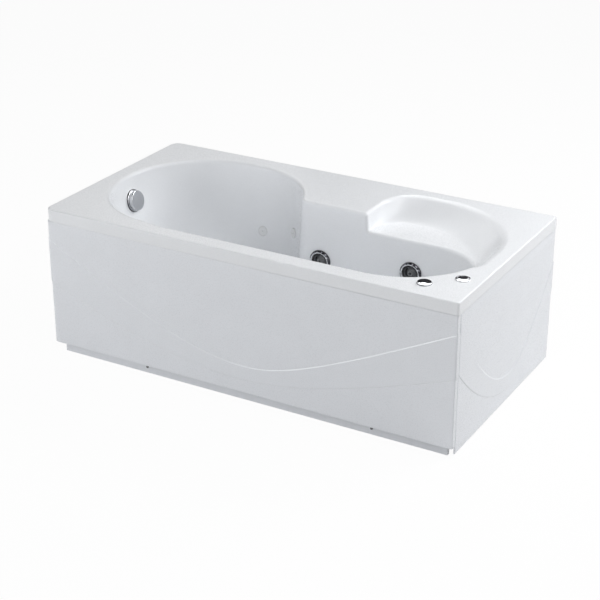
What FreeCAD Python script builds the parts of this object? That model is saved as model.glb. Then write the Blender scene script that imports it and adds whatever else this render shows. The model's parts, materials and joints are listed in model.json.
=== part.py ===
import FreeCAD, Part
import Sketcher
import math
import os
import re

# Jetted bathtub with a wave-fronted apron, built as its separate pieces.
# Millimetres, +X along the tub away from the overflow end, +Y to the wall behind, +Z up.
# The origin is on the floor under the middle of the rim.

Vector = FreeCAD.Vector

SIZES = [
    # Rim and deck
    ("tub_length", 1700, "overall length of the rim"),
    ("tub_width", 880, "overall width of the rim"),
    ("rim_height", 590, "floor to deck"),
    ("rim_band", 47, "height of the down-turned rim"),
    ("rim_left_corner", 36, "corner radius of the rim at the overflow end"),
    ("rim_right_corner", 9, "corner radius of the rim at the other end"),
    ("rim_edge", 5, "rounding of the rim's top edge"),
    ("shell_wall", 6, "thickness of the moulded shell"),
    ("lip", 12, "rounding where the deck turns into the basin"),
    ("cut_over", 1, "how far a cutter runs past the face it opens"),
    # Deep channel of the basin
    ("floor_height", 150, "floor to basin floor"),
    ("floor_round", 70, "rounding between basin walls and floor"),
    ("channel_start", 301, "left end of the channel from the end of the bowl"),
    ("end_deck", 72, "deck at the right end of the channel"),
    ("front_deck", 76, "deck in front of the channel"),
    ("armrest_deck", 325, "deck behind the channel, at the armrest"),
    ("channel_left_corner", 120, "left corner radius"),
    ("channel_front_corner", 320, "front right corner radius"),
    ("channel_back_corner", 140, "back right corner radius at the deck"),
    ("channel_shelf_corner", 200, "back right corner radius from the shelf down"),
    ("channel_corner_gap", 8, "straight between the two right corners"),
    ("channel_corner_draft", 0.25, "how the front right corner tightens with depth"),
    ("channel_front_draft", 0.12, "slope of the front wall"),
    ("channel_end_draft", 0.62, "slope of the reclining right end"),
    # Round bowl at the overflow end
    ("bowl_end_deck", 69, "deck at the overflow end"),
    ("bowl_stretch", 47, "straight part of the bowl's front and back"),
    ("bowl_front_deck", 88, "deck in front of the bowl"),
    ("bowl_back_deck", 80, "deck behind the bowl"),
    ("bowl_flat", 11, "straight part of the bowl's end, each side of its middle"),
    ("bowl_end_draft", 0.16, "slope of the overflow end at the deck"),
    ("bowl_end_curve", 0.0004, "how the overflow end's slope grows with depth"),
    ("bowl_side_draft", 0.10, "slope of the bowl's sides at the deck"),
    ("bowl_side_curve", 0.0002, "how the sides' slope grows with depth"),
    ("bowl_inner_draft", 0.05, "slope of the bowl's side by the armrest"),
    # Shelf recess at the right end
    ("shelf_depth", 72, "deck to shelf"),
    ("shelf_length", 563, "length of the recess at the deck"),
    ("shelf_end_deck", 63, "deck at the right end of the recess"),
    ("shelf_overlap", 265, "how far the recess reaches into the channel"),
    ("shelf_back_deck", 62, "deck behind the recess"),
    ("shelf_left_corner", 130, "back left corner radius"),
    ("shelf_right_corner", 365, "back right corner radius"),
    ("shelf_front_corner", 50, "corner radius inside the channel"),
    ("shelf_back_cove", 115, "how far the back wall slopes in"),
    ("shelf_right_cove", 72, "how far the right wall slopes in"),
    ("shelf_left_cove", 5, "how far the left wall slopes in"),
    ("shelf_right_ease", 0.11, "share of the slope that tightens the back right corner"),
    ("shelf_left_ease", 0.05, "share of the slope that tightens the back left corner"),
    ("shelf_bend", 1.35, "how soon the sloping wall turns into the shelf, 1 for a straight slope"),
    # Apron panels
    ("panel_set_back", 2, "panel face behind the rim face"),
    ("wave_rise", 2, "height of the raised wave band"),
    ("panel_sheet", 4, "panel thickness"),
    ("panel_return", 20, "depth of the panel's folded edges"),
    ("rim_seam", 1, "gap under the rim"),
    ("panel_gap", 3, "gap between the panels"),
    ("panel_left_corner", 19, "rounding of the front panel's left end"),
    ("panel_right_corner", 5, "rounding of the front panel's right end"),
    ("panel_fold_flat", 1, "least flat of a folded edge behind its rounding"),
    ("panel_wrap", 20, "how far the front panel wraps round the corner"),
    ("front_panel_bottom", 37, "floor to the front panel"),
    ("end_panel_bottom", 7, "floor to the end panel"),
    ("front_wave_x", 20, "lowest point of the front panel's upper wave line"),
    ("front_wave_low", 146, "height of that point"),
    ("front_wave_left_drop", 79.2, "upper line's left end under the panel's top"),
    ("front_wave_left_bend", 450, "how softly the left arm bends"),
    ("front_wave_right_drop", 72.6, "upper line's right end under the panel's top"),
    ("front_wave_right_bend", 250, "how softly the right arm bends"),
    ("front_dip_low", 91, "lowest height of the lower wave line"),
    ("front_dip_shift", 35, "lower line's lowest point to the left of the upper one's"),
    ("front_dip_left_drop", 253.6, "lower line's left end under the panel's top"),
    ("front_dip_left_bend", 600, "how softly the left arm bends"),
    ("front_dip_right_drop", 239, "lower line's right end under the panel's top"),
    ("front_dip_right_bend", 500, "how softly the right arm bends"),
    ("end_wave_y", 55, "lowest point of the end panel's wave lines"),
    ("end_wave_low", 114, "height of that point on the upper line"),
    ("end_dip_low", 58, "height of that point on the lower line"),
    ("end_wave_front_drop", 36.9, "upper line's front end under the panel's top"),
    ("end_wave_front_bend", 2000, "how softly the front arm bends"),
    ("end_wave_back_drop", 135.5, "upper line's back end under the panel's top"),
    ("end_wave_back_bend", 200, "how softly the back arm bends"),
    ("end_dip_front_drop", 232.2, "lower line's front end under the panel's top"),
    ("end_dip_front_bend", 2000, "how softly the front arm bends"),
    ("end_dip_back_drop", 256.4, "lower line's back end under the panel's top"),
    ("end_dip_back_bend", 120, "how softly the back arm bends"),
    # Plinth
    ("plinth_recess", 15, "plinth face behind the front panel"),
    ("plinth_sheet", 15, "plinth thickness"),
    ("plinth_clear", 2, "plinth to floor"),
    ("plinth_left_inset", 48, "plinth end from the left end of the rim"),
    ("plinth_right_inset", 25, "plinth end from the right end of the rim"),
    ("screw_left_inset", 431, "left plinth screw from the left end of the rim"),
    ("screw_right_inset", 317, "right plinth screw from the right end of the rim"),
    ("screw_height", 27, "floor to the plinth screws"),
    ("screw_head", 5, "screw head radius"),
    ("screw_head_rise", 3, "screw head height"),
    ("screw_shank", 2, "screw shank radius"),
    # Steel frame
    ("frame_tube", 30, "square tube of the frame"),
    ("frame_wall", 2, "tube wall"),
    ("frame_base", 70, "floor to the cross members"),
    ("post_left_inset", 70, "posts from the overflow end of the rim"),
    ("post_right_inset", 65, "posts from the right end of the rim"),
    ("post_side_inset", 40, "posts from the front and back of the rim"),
    ("rail_front_inset", 124, "front long rail behind the channel's front"),
    ("rail_pipe_clear", 7, "back long rail behind the overflow pipe"),
    ("cross_one_inset", 440, "second cross member from the first"),
    ("cross_two_inset", 50, "third cross member in front of the pump"),
    ("cross_pitch", 300, "third to fourth cross member, under the pump"),
    ("rim_rail", 25, "square tube under the deck"),
    ("rim_rail_inset", 27, "back rail under the deck from the back of the rim"),
    ("board_left_inset", 380, "base board from the left posts"),
    ("board_right_inset", 315, "base board from the right posts"),
    ("board_margin", 45, "base board over the middle of its rails"),
    ("bracket_width", 30, "panel bracket width"),
    ("bracket_height", 40, "panel bracket height"),
    ("bracket_low", 130, "lower panel brackets above the floor"),
    ("bracket_high", 470, "upper panel brackets above the floor"),
    # Levelling feet
    ("foot_inset", 55, "feet from the posts"),
    ("foot_pad", 26, "foot pad radius"),
    ("foot_pad_rise", 12, "foot pad height"),
    ("foot_pad_edge", 4, "foot pad height at its edge"),
    ("foot_shoulder", 4, "foot pad's top round the stem"),
    ("foot_stem", 6, "foot stem radius"),
    ("foot_stem_top", 112, "floor to the stem's end"),
    ("foot_nut", 11, "lock nut half width over corners"),
    ("foot_nut_rise", 10, "lock nut height"),
    ("running_gap", 0.05, "radial clearance of a running fit"),
    ("free_gap", 0.3, "gap between pieces that move past each other"),
    # Jets
    ("jet_one_inset", 72, "left jet from the bowl"),
    ("jet_one_drop", 233, "left jet under the deck"),
    ("jet_two_inset", 366, "right jet from the right end of the channel"),
    ("jet_two_drop", 201, "right jet under the deck"),
    ("jet_neck", 30, "jet body radius through the wall"),
    ("jet_hole_gap", 1, "hole round the jet body"),
    ("jet_flange", 38, "jet flange radius"),
    ("jet_flange_rise", 3, "jet flange thickness"),
    ("jet_gasket", 2, "jet gasket thickness"),
    ("jet_bore", 24, "inside radius of the jet body"),
    ("jet_length", 84, "jet body behind the wall"),
    ("jet_ball_depth", 20, "nozzle ball centre behind the wall face"),
    ("jet_ball_clear", 2, "room behind the nozzle ball"),
    ("jet_nozzle", 10, "nozzle radius"),
    ("jet_nozzle_bore", 6, "nozzle bore radius"),
    ("jet_nozzle_reach", 30, "nozzle tip from the ball centre"),
    ("jet_bezel", 44, "bezel radius"),
    ("jet_bezel_rise", 8, "bezel over the flange"),
    ("jet_bezel_shoulder", 6.4, "height of the bezel's outer bevel"),
    ("jet_bezel_bevel", 4, "width of the outer bevel"),
    ("jet_bezel_crown", 10, "bezel's highest ring from its edge"),
    ("jet_bezel_dish", 5.6, "height at the mouth of the bezel's cone"),
    ("jet_bezel_cone", 3, "mouth of the cone outside the jet's bore"),
    ("jet_bezel_throat", 1, "bottom of the cone outside the jet's bore"),
    ("jet_grip", 3, "radius of the bezel's finger notch"),
    ("jet_grip_out", 1, "notch centre outside the bezel"),
    ("jet_nut", 42, "jet nut radius"),
    ("jet_nut_rise", 12, "jet nut thickness"),
    ("jet_nut_chamfer", 3, "jet nut chamfer"),
    ("jet_port", 20, "water port radius"),
    ("jet_port_reach", 45, "water port from the jet axis"),
    ("jet_port_inset", 25, "water port axis from the back of the jet body"),
    ("jet_throat", 9, "radius of the ways inside the jet body"),
    ("jet_air_socket", 6, "depth of the air socket"),
    # Small white jets in the bowl
    ("mini_one_angle", 88, "left small jet round the bowl's back right corner"),
    ("mini_one_drop", 260, "left small jet under the deck"),
    ("mini_two_angle", 52, "right small jet"),
    ("mini_two_drop", 212, "right small jet under the deck"),
    ("mini_face", 21, "small jet face radius"),
    ("mini_face_rise", 4, "small jet face thickness"),
    ("mini_face_edge", 1.3, "small jet face thickness at its edge"),
    ("mini_face_bevel", 4, "bevel of the small jet face"),
    ("mini_face_dish", 2.8, "small jet face thickness round its bore"),
    ("mini_bore", 3, "small jet bore radius"),
    ("mini_neck", 9, "small jet body radius"),
    ("mini_length", 96, "small jet body behind the face"),
    ("mini_end_wall", 6, "closed end of the small jet body"),
    # Suction
    ("suction_inset", 164, "suction fitting from the bowl"),
    ("suction_rise", 122, "suction fitting over the basin floor"),
    ("suction_face", 45, "suction cover radius"),
    ("suction_face_rise", 12, "suction cover height"),
    ("suction_face_dome", 1, "middle of the cover over its shoulder"),
    ("suction_face_bevel", 8, "bevel of the suction cover"),
    ("suction_face_sheet", 3, "suction cover thickness"),
    ("suction_face_fold", 3, "skirt thickness inside the bevel"),
    ("suction_hole", 4, "suction cover hole radius"),
    ("suction_inner_ring", 14.4, "inner ring of holes from the middle"),
    ("suction_outer_ring", 27.9, "outer ring of holes from the middle"),
    ("suction_neck", 25, "suction body radius"),
    ("suction_length", 70, "suction body behind the wall"),
    ("suction_wall", 4, "suction body wall"),
    ("suction_flange_rise", 3, "suction flange thickness"),
    ("suction_nut", 38, "suction nut radius"),
    ("suction_bend", 40, "suction pipe's straight ends"),
    # Pipes
    ("pipe", 16, "water pipe radius"),
    ("pipe_wall", 2.5, "pipe wall"),
    ("pipe_insert", 20, "pipe end inside its socket"),
    ("manifold_drop", 42, "water manifold under the shelf"),
    ("air_tube", 9, "air pipe radius"),
    ("air_tube_wall", 2, "air pipe wall"),
    ("air_line_drop", 160, "air pipe under the deck"),
    ("air_line_set_back", 29, "air pipe behind the jets"),
    ("air_line_inset", 100, "air pipe from the right end of the rim"),
    ("signal_tube", 3, "air switch tube radius"),
    ("signal_tube_wall", 1, "air switch tube wall"),
    ("signal_drop", 60, "air switch tube under the air pipe"),
    ("signal_bend", 60, "air switch tube past the terminal box"),
    ("elbow", 1.3, "bend radius of an elbow over the pipe radius"),
    ("tee_swell", 1.15, "tee radius over the pipe radius"),
    ("tee_reach", 1.6, "half length of a tee over the pipe radius"),
    ("mini_link_reach", 45, "manifold's plain end from the left jet"),
    ("mini_elbow_reach", 20, "small jets' pipe before its first bend"),
    ("mini_pipe", 8, "small jets' pipe radius"),
    # Waste and overflow
    ("drain_inset", 311, "drain from the end of the bowl"),
    ("drain_set_back", 269, "drain behind the channel's front"),
    ("drain_bore", 21, "drain bore radius"),
    ("drain_neck", 25, "drain neck radius"),
    ("drain_flange", 35, "drain flange radius"),
    ("drain_flange_rise", 3, "drain flange height"),
    ("drain_flange_bevel", 2, "drain flange bevel"),
    ("drain_neck_length", 24, "drain neck below the basin floor"),
    ("drain_plug", 29, "plug radius"),
    ("drain_plug_rise", 5, "plug height"),
    ("drain_plug_dome", 1, "middle of the plug over its shoulder"),
    ("drain_plug_lean", 1, "lean of the plug's edge"),
    ("drain_plug_bevel", 9, "bevel of the plug"),
    ("drain_plug_seat", 6, "plug's seat inside the drain"),
    ("drain_seat_gap", 1, "plug's seat to the drain bore"),
    ("drain_stem", 4, "plug stem radius"),
    ("drain_stem_length", 50, "plug stem length"),
    ("waste_gasket", 3, "waste gasket thickness"),
    ("waste_cup", 32, "waste body radius"),
    ("waste_wall", 4, "waste body bottom and flange thickness"),
    ("waste_side_reach", 60, "overflow branch from the drain"),
    ("waste_flange", 38, "waste body flange radius"),
    ("waste_bottom", 46, "floor to the waste body"),
    ("waste_outlet", 20, "waste outlet radius"),
    ("waste_outlet_wall", 3, "waste outlet wall"),
    ("waste_outlet_rise", 25, "waste outlet over the bottom of the waste body"),
    ("waste_outlet_reach", 220, "waste outlet from the drain"),
    ("waste_spigot", 65, "plain end of the waste outlet"),
    ("waste_collar", 3, "waste pipe over its plain end"),
    ("overflow_drop", 100, "overflow under the deck"),
    ("overflow_boss", 49, "radius of the seat"),
    ("overflow_hole", 22, "hole through the seat"),
    ("overflow_face", 46, "overflow rosette radius"),
    ("overflow_face_rise", 7, "overflow rosette thickness"),
    ("overflow_face_bevel", 5, "overflow rosette bevel"),
    ("overflow_gasket", 2, "overflow gasket thickness"),
    ("overflow_gasket_inset", 2, "gasket inside the rosette's edge"),
    ("overflow_slot", 4, "overflow slot radius"),
    ("overflow_slot_ring", 15, "overflow slots from the middle"),
    ("overflow_knob", 41, "overflow knob radius"),
    ("overflow_knob_lift", 4, "overflow knob off its rosette"),
    ("overflow_flute", 5, "radius of the flutes round the knob"),
    ("overflow_stem_length", 26, "overflow stem behind the rosette"),
    ("overflow_port_reach", 25, "overflow port under its cup"),
    ("overflow_pipe_clear", 6, "overflow pipe from the inside of its cup"),
    ("overflow_knob_rise", 12, "overflow knob height"),
    ("overflow_knob_edge", 2, "bevel at the back of the knob"),
    ("overflow_knob_bevel", 4, "bevel at the front of the knob"),
    ("overflow_knob_dome", 1, "middle of the knob over its shoulder"),
    ("overflow_stem", 8, "overflow stem radius"),
    ("overflow_cup", 30, "overflow body radius"),
    ("overflow_cup_length", 37, "overflow body length"),
    ("overflow_cup_wall", 4, "overflow body back wall"),
    ("overflow_cup_flange", 3, "overflow body flange thickness and inset"),
    ("overflow_pipe", 14, "overflow pipe radius"),
    ("overflow_socket_wall", 3, "wall of the overflow pipe's sockets"),
    ("overflow_run_rise", 71, "overflow pipe over the bottom of the waste body"),
    # Deck controls
    ("air_end_inset", 167, "air control from the right end of the rim"),
    ("air_front_inset", 86, "air control from the front of the rim"),
    ("button_end_inset", 68, "button from the right end of the rim"),
    ("button_front_inset", 180, "button from the front of the rim"),
    ("control_neck", 17.5, "control body radius through the deck"),
    ("control_flange", 27, "control flange radius"),
    ("control_flange_rise", 2, "control flange over the deck"),
    ("control_length", 60, "control body below the deck"),
    ("control_nut", 27, "control nut half width over corners"),
    ("control_nut_rise", 12, "control nut height"),
    ("knob", 26, "air knob radius"),
    ("knob_rise", 7, "air knob height"),
    ("knob_edge", 2, "height of the knob's edge"),
    ("knob_bevel", 4, "outer bevel of the knob"),
    ("knob_crown", 10, "flat top of the knob from its edge"),
    ("knob_shoulder", 2, "outer bevel under the flat top"),
    ("knob_dome", 0.8, "middle of the knob over its flat top"),
    ("knob_stem_length", 20, "air knob stem below the deck"),
    ("knob_socket_clear", 10, "air pipe socket over the pipe's end"),
    ("pointer_length", 14, "mark on the air knob"),
    ("pointer_width", 2, "width of the mark"),
    ("pointer_inset", 4, "mark from the knob's edge"),
    ("pointer_depth", 1, "depth of the mark"),
    ("knob_stem", 6, "air knob stem radius"),
    ("button", 20, "button cap radius"),
    ("button_travel", 3, "button stroke"),
    ("button_ring_rise", 5, "ring round the button cap"),
    ("button_ring_floor", 0.6, "floor of the ring over the deck"),
    ("button_ring_bevel", 2.5, "bevel of the ring"),
    ("button_cap_lift", 3.8, "underside of the button cap over the deck"),
    ("button_cap_rise", 3, "button cap thickness"),
    ("button_cap_edge", 1, "bevel of the button cap"),
    ("button_cap_flat", 5, "bevel width of the button cap"),
    ("button_cap_dome", 0.5, "middle of the cap over its shoulder"),
    ("button_cavity", 15, "button body bore"),
    ("button_floor", 16, "bottom of the button body's bore"),
    ("button_spigot", 8, "tube spigot radius under the button"),
    ("button_spigot_length", 10, "tube spigot length"),
    ("button_stem", 5, "button stem radius"),
    ("button_stem_length", 30, "button stem below the deck"),
    ("spring_coil", 10, "spring radius"),
    ("spring_wire", 1, "spring wire radius"),
    ("spring_turns", 8, "turns of the spring"),
    # Pump and motor
    ("pump_inset", 30, "front of the volute from the suction fitting"),
    ("pump_set_back", 175, "pump axis behind the channel"),
    ("pump_clear", 2, "volute over its plate"),
    ("volute", 75, "volute radius"),
    ("volute_cavity", 62, "volute cavity radius"),
    ("volute_length", 50, "volute cavity length"),
    ("volute_back", 8, "volute back wall"),
    ("pump_cover_sheet", 10, "pump cover thickness"),
    ("pump_port", 22, "pump port radius"),
    ("pump_port_reach", 45, "inlet port length"),
    ("outlet_offset", 42, "outlet port from the pump axis"),
    ("outlet_top", 95, "outlet port over the pump axis"),
    ("impeller", 56, "impeller radius"),
    ("impeller_width", 22, "impeller width"),
    ("impeller_hub", 13, "impeller hub radius"),
    ("impeller_inset", 14, "impeller behind the pump cover"),
    ("impeller_disc", 4, "impeller disc thickness"),
    ("vane_sheet", 4, "impeller vane thickness"),
    ("vane_sink", 1, "how deep a vane or blade is set in its hub or disc"),
    ("shaft", 7, "shaft radius"),
    ("shaft_clear", 1, "hole round the shaft in the volute"),
    ("shaft_inset", 10, "shaft end behind the pump cover"),
    ("shaft_short", 18, "shaft end before the end of the fan cover"),
    ("motor", 64, "motor housing radius"),
    ("motor_wall", 6, "motor housing wall"),
    ("motor_length", 180, "motor housing length"),
    ("motor_end_wall", 10, "motor end walls, which hold the bearings"),
    ("rotor", 34, "rotor radius"),
    ("rotor_length", 90, "rotor and stator length"),
    ("rotor_air_gap", 0.8, "rotor to stator"),
    ("fan", 48, "fan radius"),
    ("fan_width", 16, "fan width"),
    ("fan_gap", 6, "fan from the motor"),
    ("fan_hub", 16, "fan hub radius"),
    ("fan_disc", 3, "fan disc thickness"),
    ("fan_disc_inset", 6, "fan disc inside the blade tips"),
    ("fan_blade", 2, "fan blade thickness"),
    ("fan_vent", 7, "vent radius in the fan cover"),
    ("fan_vent_ring", 38.4, "vents from the motor axis"),
    ("fan_cover_length", 42, "fan cover length"),
    ("fan_cover_sheet", 2, "fan cover thickness"),
    ("plate", 5, "pump base plate thickness"),
    ("plate_margin", 85, "pump plate half width"),
    ("saddle_length", 30, "motor saddle length"),
    ("saddle_width", 96, "motor saddle width"),
    ("saddle_drop", 32, "motor saddle's top under the motor axis"),
    ("saddle_front", 21.6, "front saddle from the motor's front end"),
    ("saddle_rear", 129.6, "rear saddle from the motor's front end"),
    ("saddle_gap", 0.2, "motor to saddle"),
    ("terminal_length", 90, "terminal box length"),
    ("terminal_width", 64, "terminal box width"),
    ("terminal_rise", 46, "terminal box over the motor"),
    ("terminal_inset", 30, "terminal box from the motor's front end"),
    ("terminal_sink", 12, "terminal box down the side of the motor"),
    ("gland", 10, "cable gland radius"),
    ("gland_bore", 5, "cable gland bore radius"),
    ("gland_reach", 20, "cable gland length"),
]

# Where things are, worked out from the sizes
PLACES = [
    ("channel_front", "-tub_width / 2 + front_deck"),
    ("channel_back", "tub_width / 2 - armrest_deck"),
    ("channel_right", "tub_length / 2 - end_deck"),
    ("bowl_left", "-tub_length / 2 + bowl_end_deck"),
    ("bowl_front", "-tub_width / 2 + bowl_front_deck"),
    ("bowl_back", "tub_width / 2 - bowl_back_deck"),
    ("bowl_middle", "(bowl_back + bowl_front) / 2"),
    ("bowl_corner", "(bowl_back - bowl_front) / 2 - bowl_flat"),
    ("bowl_right", "bowl_left + 2 * bowl_corner + bowl_stretch"),
    ("channel_left", "bowl_left + channel_start"),
    ("shelf_right", "tub_length / 2 - shelf_end_deck"),
    ("shelf_left", "shelf_right - shelf_length"),
    ("shelf_back", "tub_width / 2 - shelf_back_deck"),
    ("shelf_front", "channel_back - shelf_overlap"),
    ("screw_left_x", "-tub_length / 2 + screw_left_inset"),
    ("screw_right_x", "tub_length / 2 - screw_right_inset"),
    ("post_left_x", "-tub_length / 2 + post_left_inset"),
    ("post_right_x", "tub_length / 2 - post_right_inset"),
    ("post_y", "tub_width / 2 - post_side_inset"),
    ("foot_y", "post_y - foot_inset"),
    ("rail_front_y", "channel_front + rail_front_inset"),
    ("rail_back_y", "bowl_middle + overflow_pipe + rail_pipe_clear + frame_tube / 2"),
    ("rim_rail_back_y", "tub_width / 2 - rim_rail_inset"),
    ("jet_one_x", "bowl_right + jet_one_inset"),
    ("jet_one_z", "rim_height - jet_one_drop"),
    ("jet_two_x", "channel_right - jet_two_inset"),
    ("jet_two_z", "rim_height - jet_two_drop"),
    ("mini_one_z", "rim_height - mini_one_drop"),
    ("mini_two_z", "rim_height - mini_two_drop"),
    ("suction_x", "bowl_right + suction_inset"),
    ("suction_z", "floor_height + suction_rise"),
    ("manifold_z", "rim_height - shelf_depth - shell_wall - manifold_drop"),
    ("air_line_x", "tub_length / 2 - air_line_inset"),
    ("air_line_y", "channel_back + jet_length + air_line_set_back"),
    ("air_line_z", "rim_height - air_line_drop"),
    ("drain_x", "bowl_left + drain_inset"),
    ("drain_y", "channel_front + drain_set_back"),
    ("waste_outlet_z", "waste_bottom + waste_outlet_rise"),
    ("overflow_z", "rim_height - overflow_drop"),
    ("overflow_run_z", "waste_bottom + overflow_run_rise"),
    ("air_x", "tub_length / 2 - air_end_inset"),
    ("air_y", "-tub_width / 2 + air_front_inset"),
    ("button_x", "tub_length / 2 - button_end_inset"),
    ("button_y", "-tub_width / 2 + button_front_inset"),
    ("pump_x", "suction_x + pump_inset"),
    ("pump_y", "channel_back + pump_set_back"),
    ("pump_z", "frame_base + frame_tube + plate + volute + pump_clear"),
    ("cross_one_x", "post_left_x + cross_one_inset"),
    ("cross_two_x", "pump_x - cross_two_inset"),
    ("cross_three_x", "cross_two_x + cross_pitch"),
    ("board_left", "post_left_x + board_left_inset"),
    ("board_right", "post_right_x - board_right_inset"),
    ("board_front", "rail_front_y - board_margin"),
    ("board_back", "rail_back_y + board_margin"),
]

doc = FreeCAD.newDocument("jetted_bathtub")
sheet = doc.addObject("Spreadsheet::Sheet", "Sizes")
for row, (alias, value, meaning) in enumerate(SIZES, start=1):
    sheet.set("A%d" % row, meaning)
    sheet.set("B%d" % row, str(value))
    sheet.setAlias("B%d" % row, alias)
doc.recompute()

ALIASES = set(entry[0] for entry in SIZES)
PLACE_NAMES = set(entry[0] for entry in PLACES)
places = doc.addObject("App::FeaturePython", "Places")
AXES = {
    "+X": Vector(1, 0, 0),
    "-X": Vector(-1, 0, 0),
    "+Y": Vector(0, 1, 0),
    "-Y": Vector(0, -1, 0),
    "+Z": Vector(0, 0, 1),
    "-Z": Vector(0, 0, -1),
}
sub_parts = []


# Helpers: sheet values, expressions and the common solids


def size(name):
    """A driving dimension or a place, as a number."""
    if name in PLACE_NAMES:
        return float(getattr(places, name))
    return float(sheet.get(name))


def qualified(word):
    name = word.group(0)
    if name in ALIASES:
        return "Sizes." + name
    if name in PLACE_NAMES:
        return "Places." + name
    return name


def expression(text):
    """The text with every name written as a cell of the sheet or a place."""
    return re.sub(r"[a-z_]+", qualified, text)


def bind(item, **properties):
    for name, text in properties.items():
        item.setExpression(name, expression(text))


for place_name, formula in PLACES:
    places.addProperty("App::PropertyFloat", place_name)
    places.setExpression(place_name, expression(formula))
    doc.recompute()


def place(item, x, y, z, axis="+Z"):
    """Local Z along the axis; the base point bound to the sheet, or numbers."""
    direction = AXES[axis] if isinstance(axis, str) else axis
    item.Placement = FreeCAD.Placement(Vector(0, 0, 0), FreeCAD.Rotation(Vector(0, 0, 1), direction))
    for letter, value in zip("xyz", (x, y, z)):
        if isinstance(value, str):
            item.setExpression("Placement.Base." + letter, expression(value))
        else:
            moved = item.Placement
            setattr(moved.Base, letter, value)
            item.Placement = moved
    return item


def node(item):
    sub_parts.append(item)
    return item


def box(name, length, width, height, x, y, z):
    item = doc.addObject("Part::Box", name)
    bind(item, Length=length, Width=width, Height=height)
    return place(item, x, y, z)


def rod(name, radius, height, x, y, z, axis="+Z"):
    item = doc.addObject("Part::Cylinder", name)
    bind(item, Radius=radius, Height=height)
    return place(item, x, y, z, axis)


def hexagon(name, circumradius, height, x, y, z, axis="+Z"):
    item = doc.addObject("Part::Prism", name)
    item.Polygon = 6
    bind(item, Circumradius=circumradius, Height=height)
    return place(item, x, y, z, axis)


def fuse(name, *items):
    item = doc.addObject("Part::MultiFuse", name)
    item.Shapes = list(items)
    return item


def cut(name, base, *tools):
    item = doc.addObject("Part::Cut", name)
    item.Base = base
    item.Tool = tools[0] if len(tools) == 1 else fuse(name + "_cutters", *tools)
    return item


def group(name, *items):
    item = doc.addObject("Part::Compound", name)
    item.Links = list(items)
    return item


def free_form(name, shape):
    item = doc.addObject("Part::Feature", name)
    item.Shape = shape
    return item


def turned(name, profile, x, y, z, axis="+Z"):
    """A turned piece: closed profile of (radius, height) corners bound to the sheet."""
    body = doc.addObject("PartDesign::Body", name)
    sketch = body.newObject("Sketcher::SketchObject", name + "_profile")
    plane = [feature for feature in body.Origin.OriginFeatures if feature.Role == "XZ_Plane"][0]
    sketch.AttachmentSupport = [(plane, "")]
    sketch.MapMode = "FlatFace"
    count = len(profile)
    start = []
    for i in range(count):
        turn = 2 * math.pi * i / count
        start.append(Vector(20 + 10 * math.cos(turn), 20 + 10 * math.sin(turn), 0))
    for i in range(count):
        sketch.addGeometry(Part.LineSegment(start[i], start[(i + 1) % count]))
    for i in range(count):
        sketch.addConstraint(Sketcher.Constraint("Coincident", i, 2, (i + 1) % count, 1))
    for i, (radius, height) in enumerate(profile):
        across = ("DistanceX", radius, start[i].x, -2)
        upward = ("DistanceY", height, start[i].y, -1)
        for kind, text, begin, axis_line in (across, upward):
            if text == "0":
                sketch.addConstraint(Sketcher.Constraint("PointOnObject", i, 1, axis_line))
            else:
                index = sketch.addConstraint(Sketcher.Constraint(kind, -1, 1, i, 1, begin))
                sketch.setExpression("Constraints[%d]" % index, expression(text))
    spin = body.newObject("PartDesign::Revolution", name + "_turn")
    spin.Profile = sketch
    spin.ReferenceAxis = (sketch, ["V_Axis"])
    spin.Angle = 360
    return place(body, x, y, z, axis)


def square_tube(name, length, x, y, z, along, tube="frame_tube"):
    """Hollow square tube from its low corner, along X, Y or Z."""
    outer = {"X": (length, tube, tube), "Y": (tube, length, tube), "Z": (tube, tube, length)}[along]
    hollow = tube + " - 2 * frame_wall"
    inner = tuple(length if side == length else hollow for side in outer)
    shift = {"X": (0, 1, 1), "Y": (1, 0, 1), "Z": (1, 1, 0)}[along]
    corner = [text + (" + frame_wall" if step else "") for text, step in zip((x, y, z), shift)]
    return cut(name, box(name + "_outside", *outer, x, y, z), box(name + "_inside", *inner, *corner))


def strut(start, end, radius):
    return Part.makeCylinder(radius, (end - start).Length, start, end - start)


def bent_path(points, bend):
    """Line through points with its corners rounded."""
    edges = []
    start = points[0]
    for before, corner, after in zip(points, points[1:], points[2:]):
        inward = (before - corner).normalize()
        onward = (after - corner).normalize()
        half = inward.getAngle(onward) / 2
        first = corner + inward * (bend / math.tan(half))
        last = corner + onward * (bend / math.tan(half))
        crown = corner + (inward + onward).normalize() * (bend / math.sin(half) - bend)
        edges.append(Part.LineSegment(start, first).toShape())
        edges.append(Part.Arc(first, crown, last).toShape())
        start = last
    edges.append(Part.LineSegment(start, points[-1]).toShape())
    return Part.Wire(edges)


def bent_rod(points, radius, bend):
    circle = Part.Wire(Part.makeCircle(radius, points[0], points[1] - points[0]))
    return bent_path(points, bend).makePipeShell([circle], True, False)


def run_past(points, start, end):
    """The same run, lengthened at its start and its end."""
    first = points[0] + (points[0] - points[1]).normalize() * start
    last = points[-1] + (points[-1] - points[-2]).normalize() * end
    return [first] + points[1:-1] + [last]


def pipework(name, main, radius, wall, branches=()):
    """Hollow pipe along a run with bends, and branches that leave its X stretches through tees."""
    bend = radius * size("elbow")
    half_tee = radius * size("tee_reach")
    over = size("cut_over")
    skins = []
    for reach, past, tee in ((radius, 0, half_tee), (radius - wall, over, half_tee - wall)):
        skin = bent_rod(run_past(main, past, past), reach, bend)
        along = AXES["+X"] * tee
        for branch in branches:
            skin = skin.fuse(strut(branch[0] - along, branch[0] + along, reach * size("tee_swell")))
        for branch in branches:
            skin = skin.fuse(bent_rod(run_past(branch, 0, past), reach, bend))
        skins.append(skin)
    return free_form(name, skins[0].cut(skins[1]))


# Basin sections: rounded rectangles whose sides move in with depth


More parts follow.
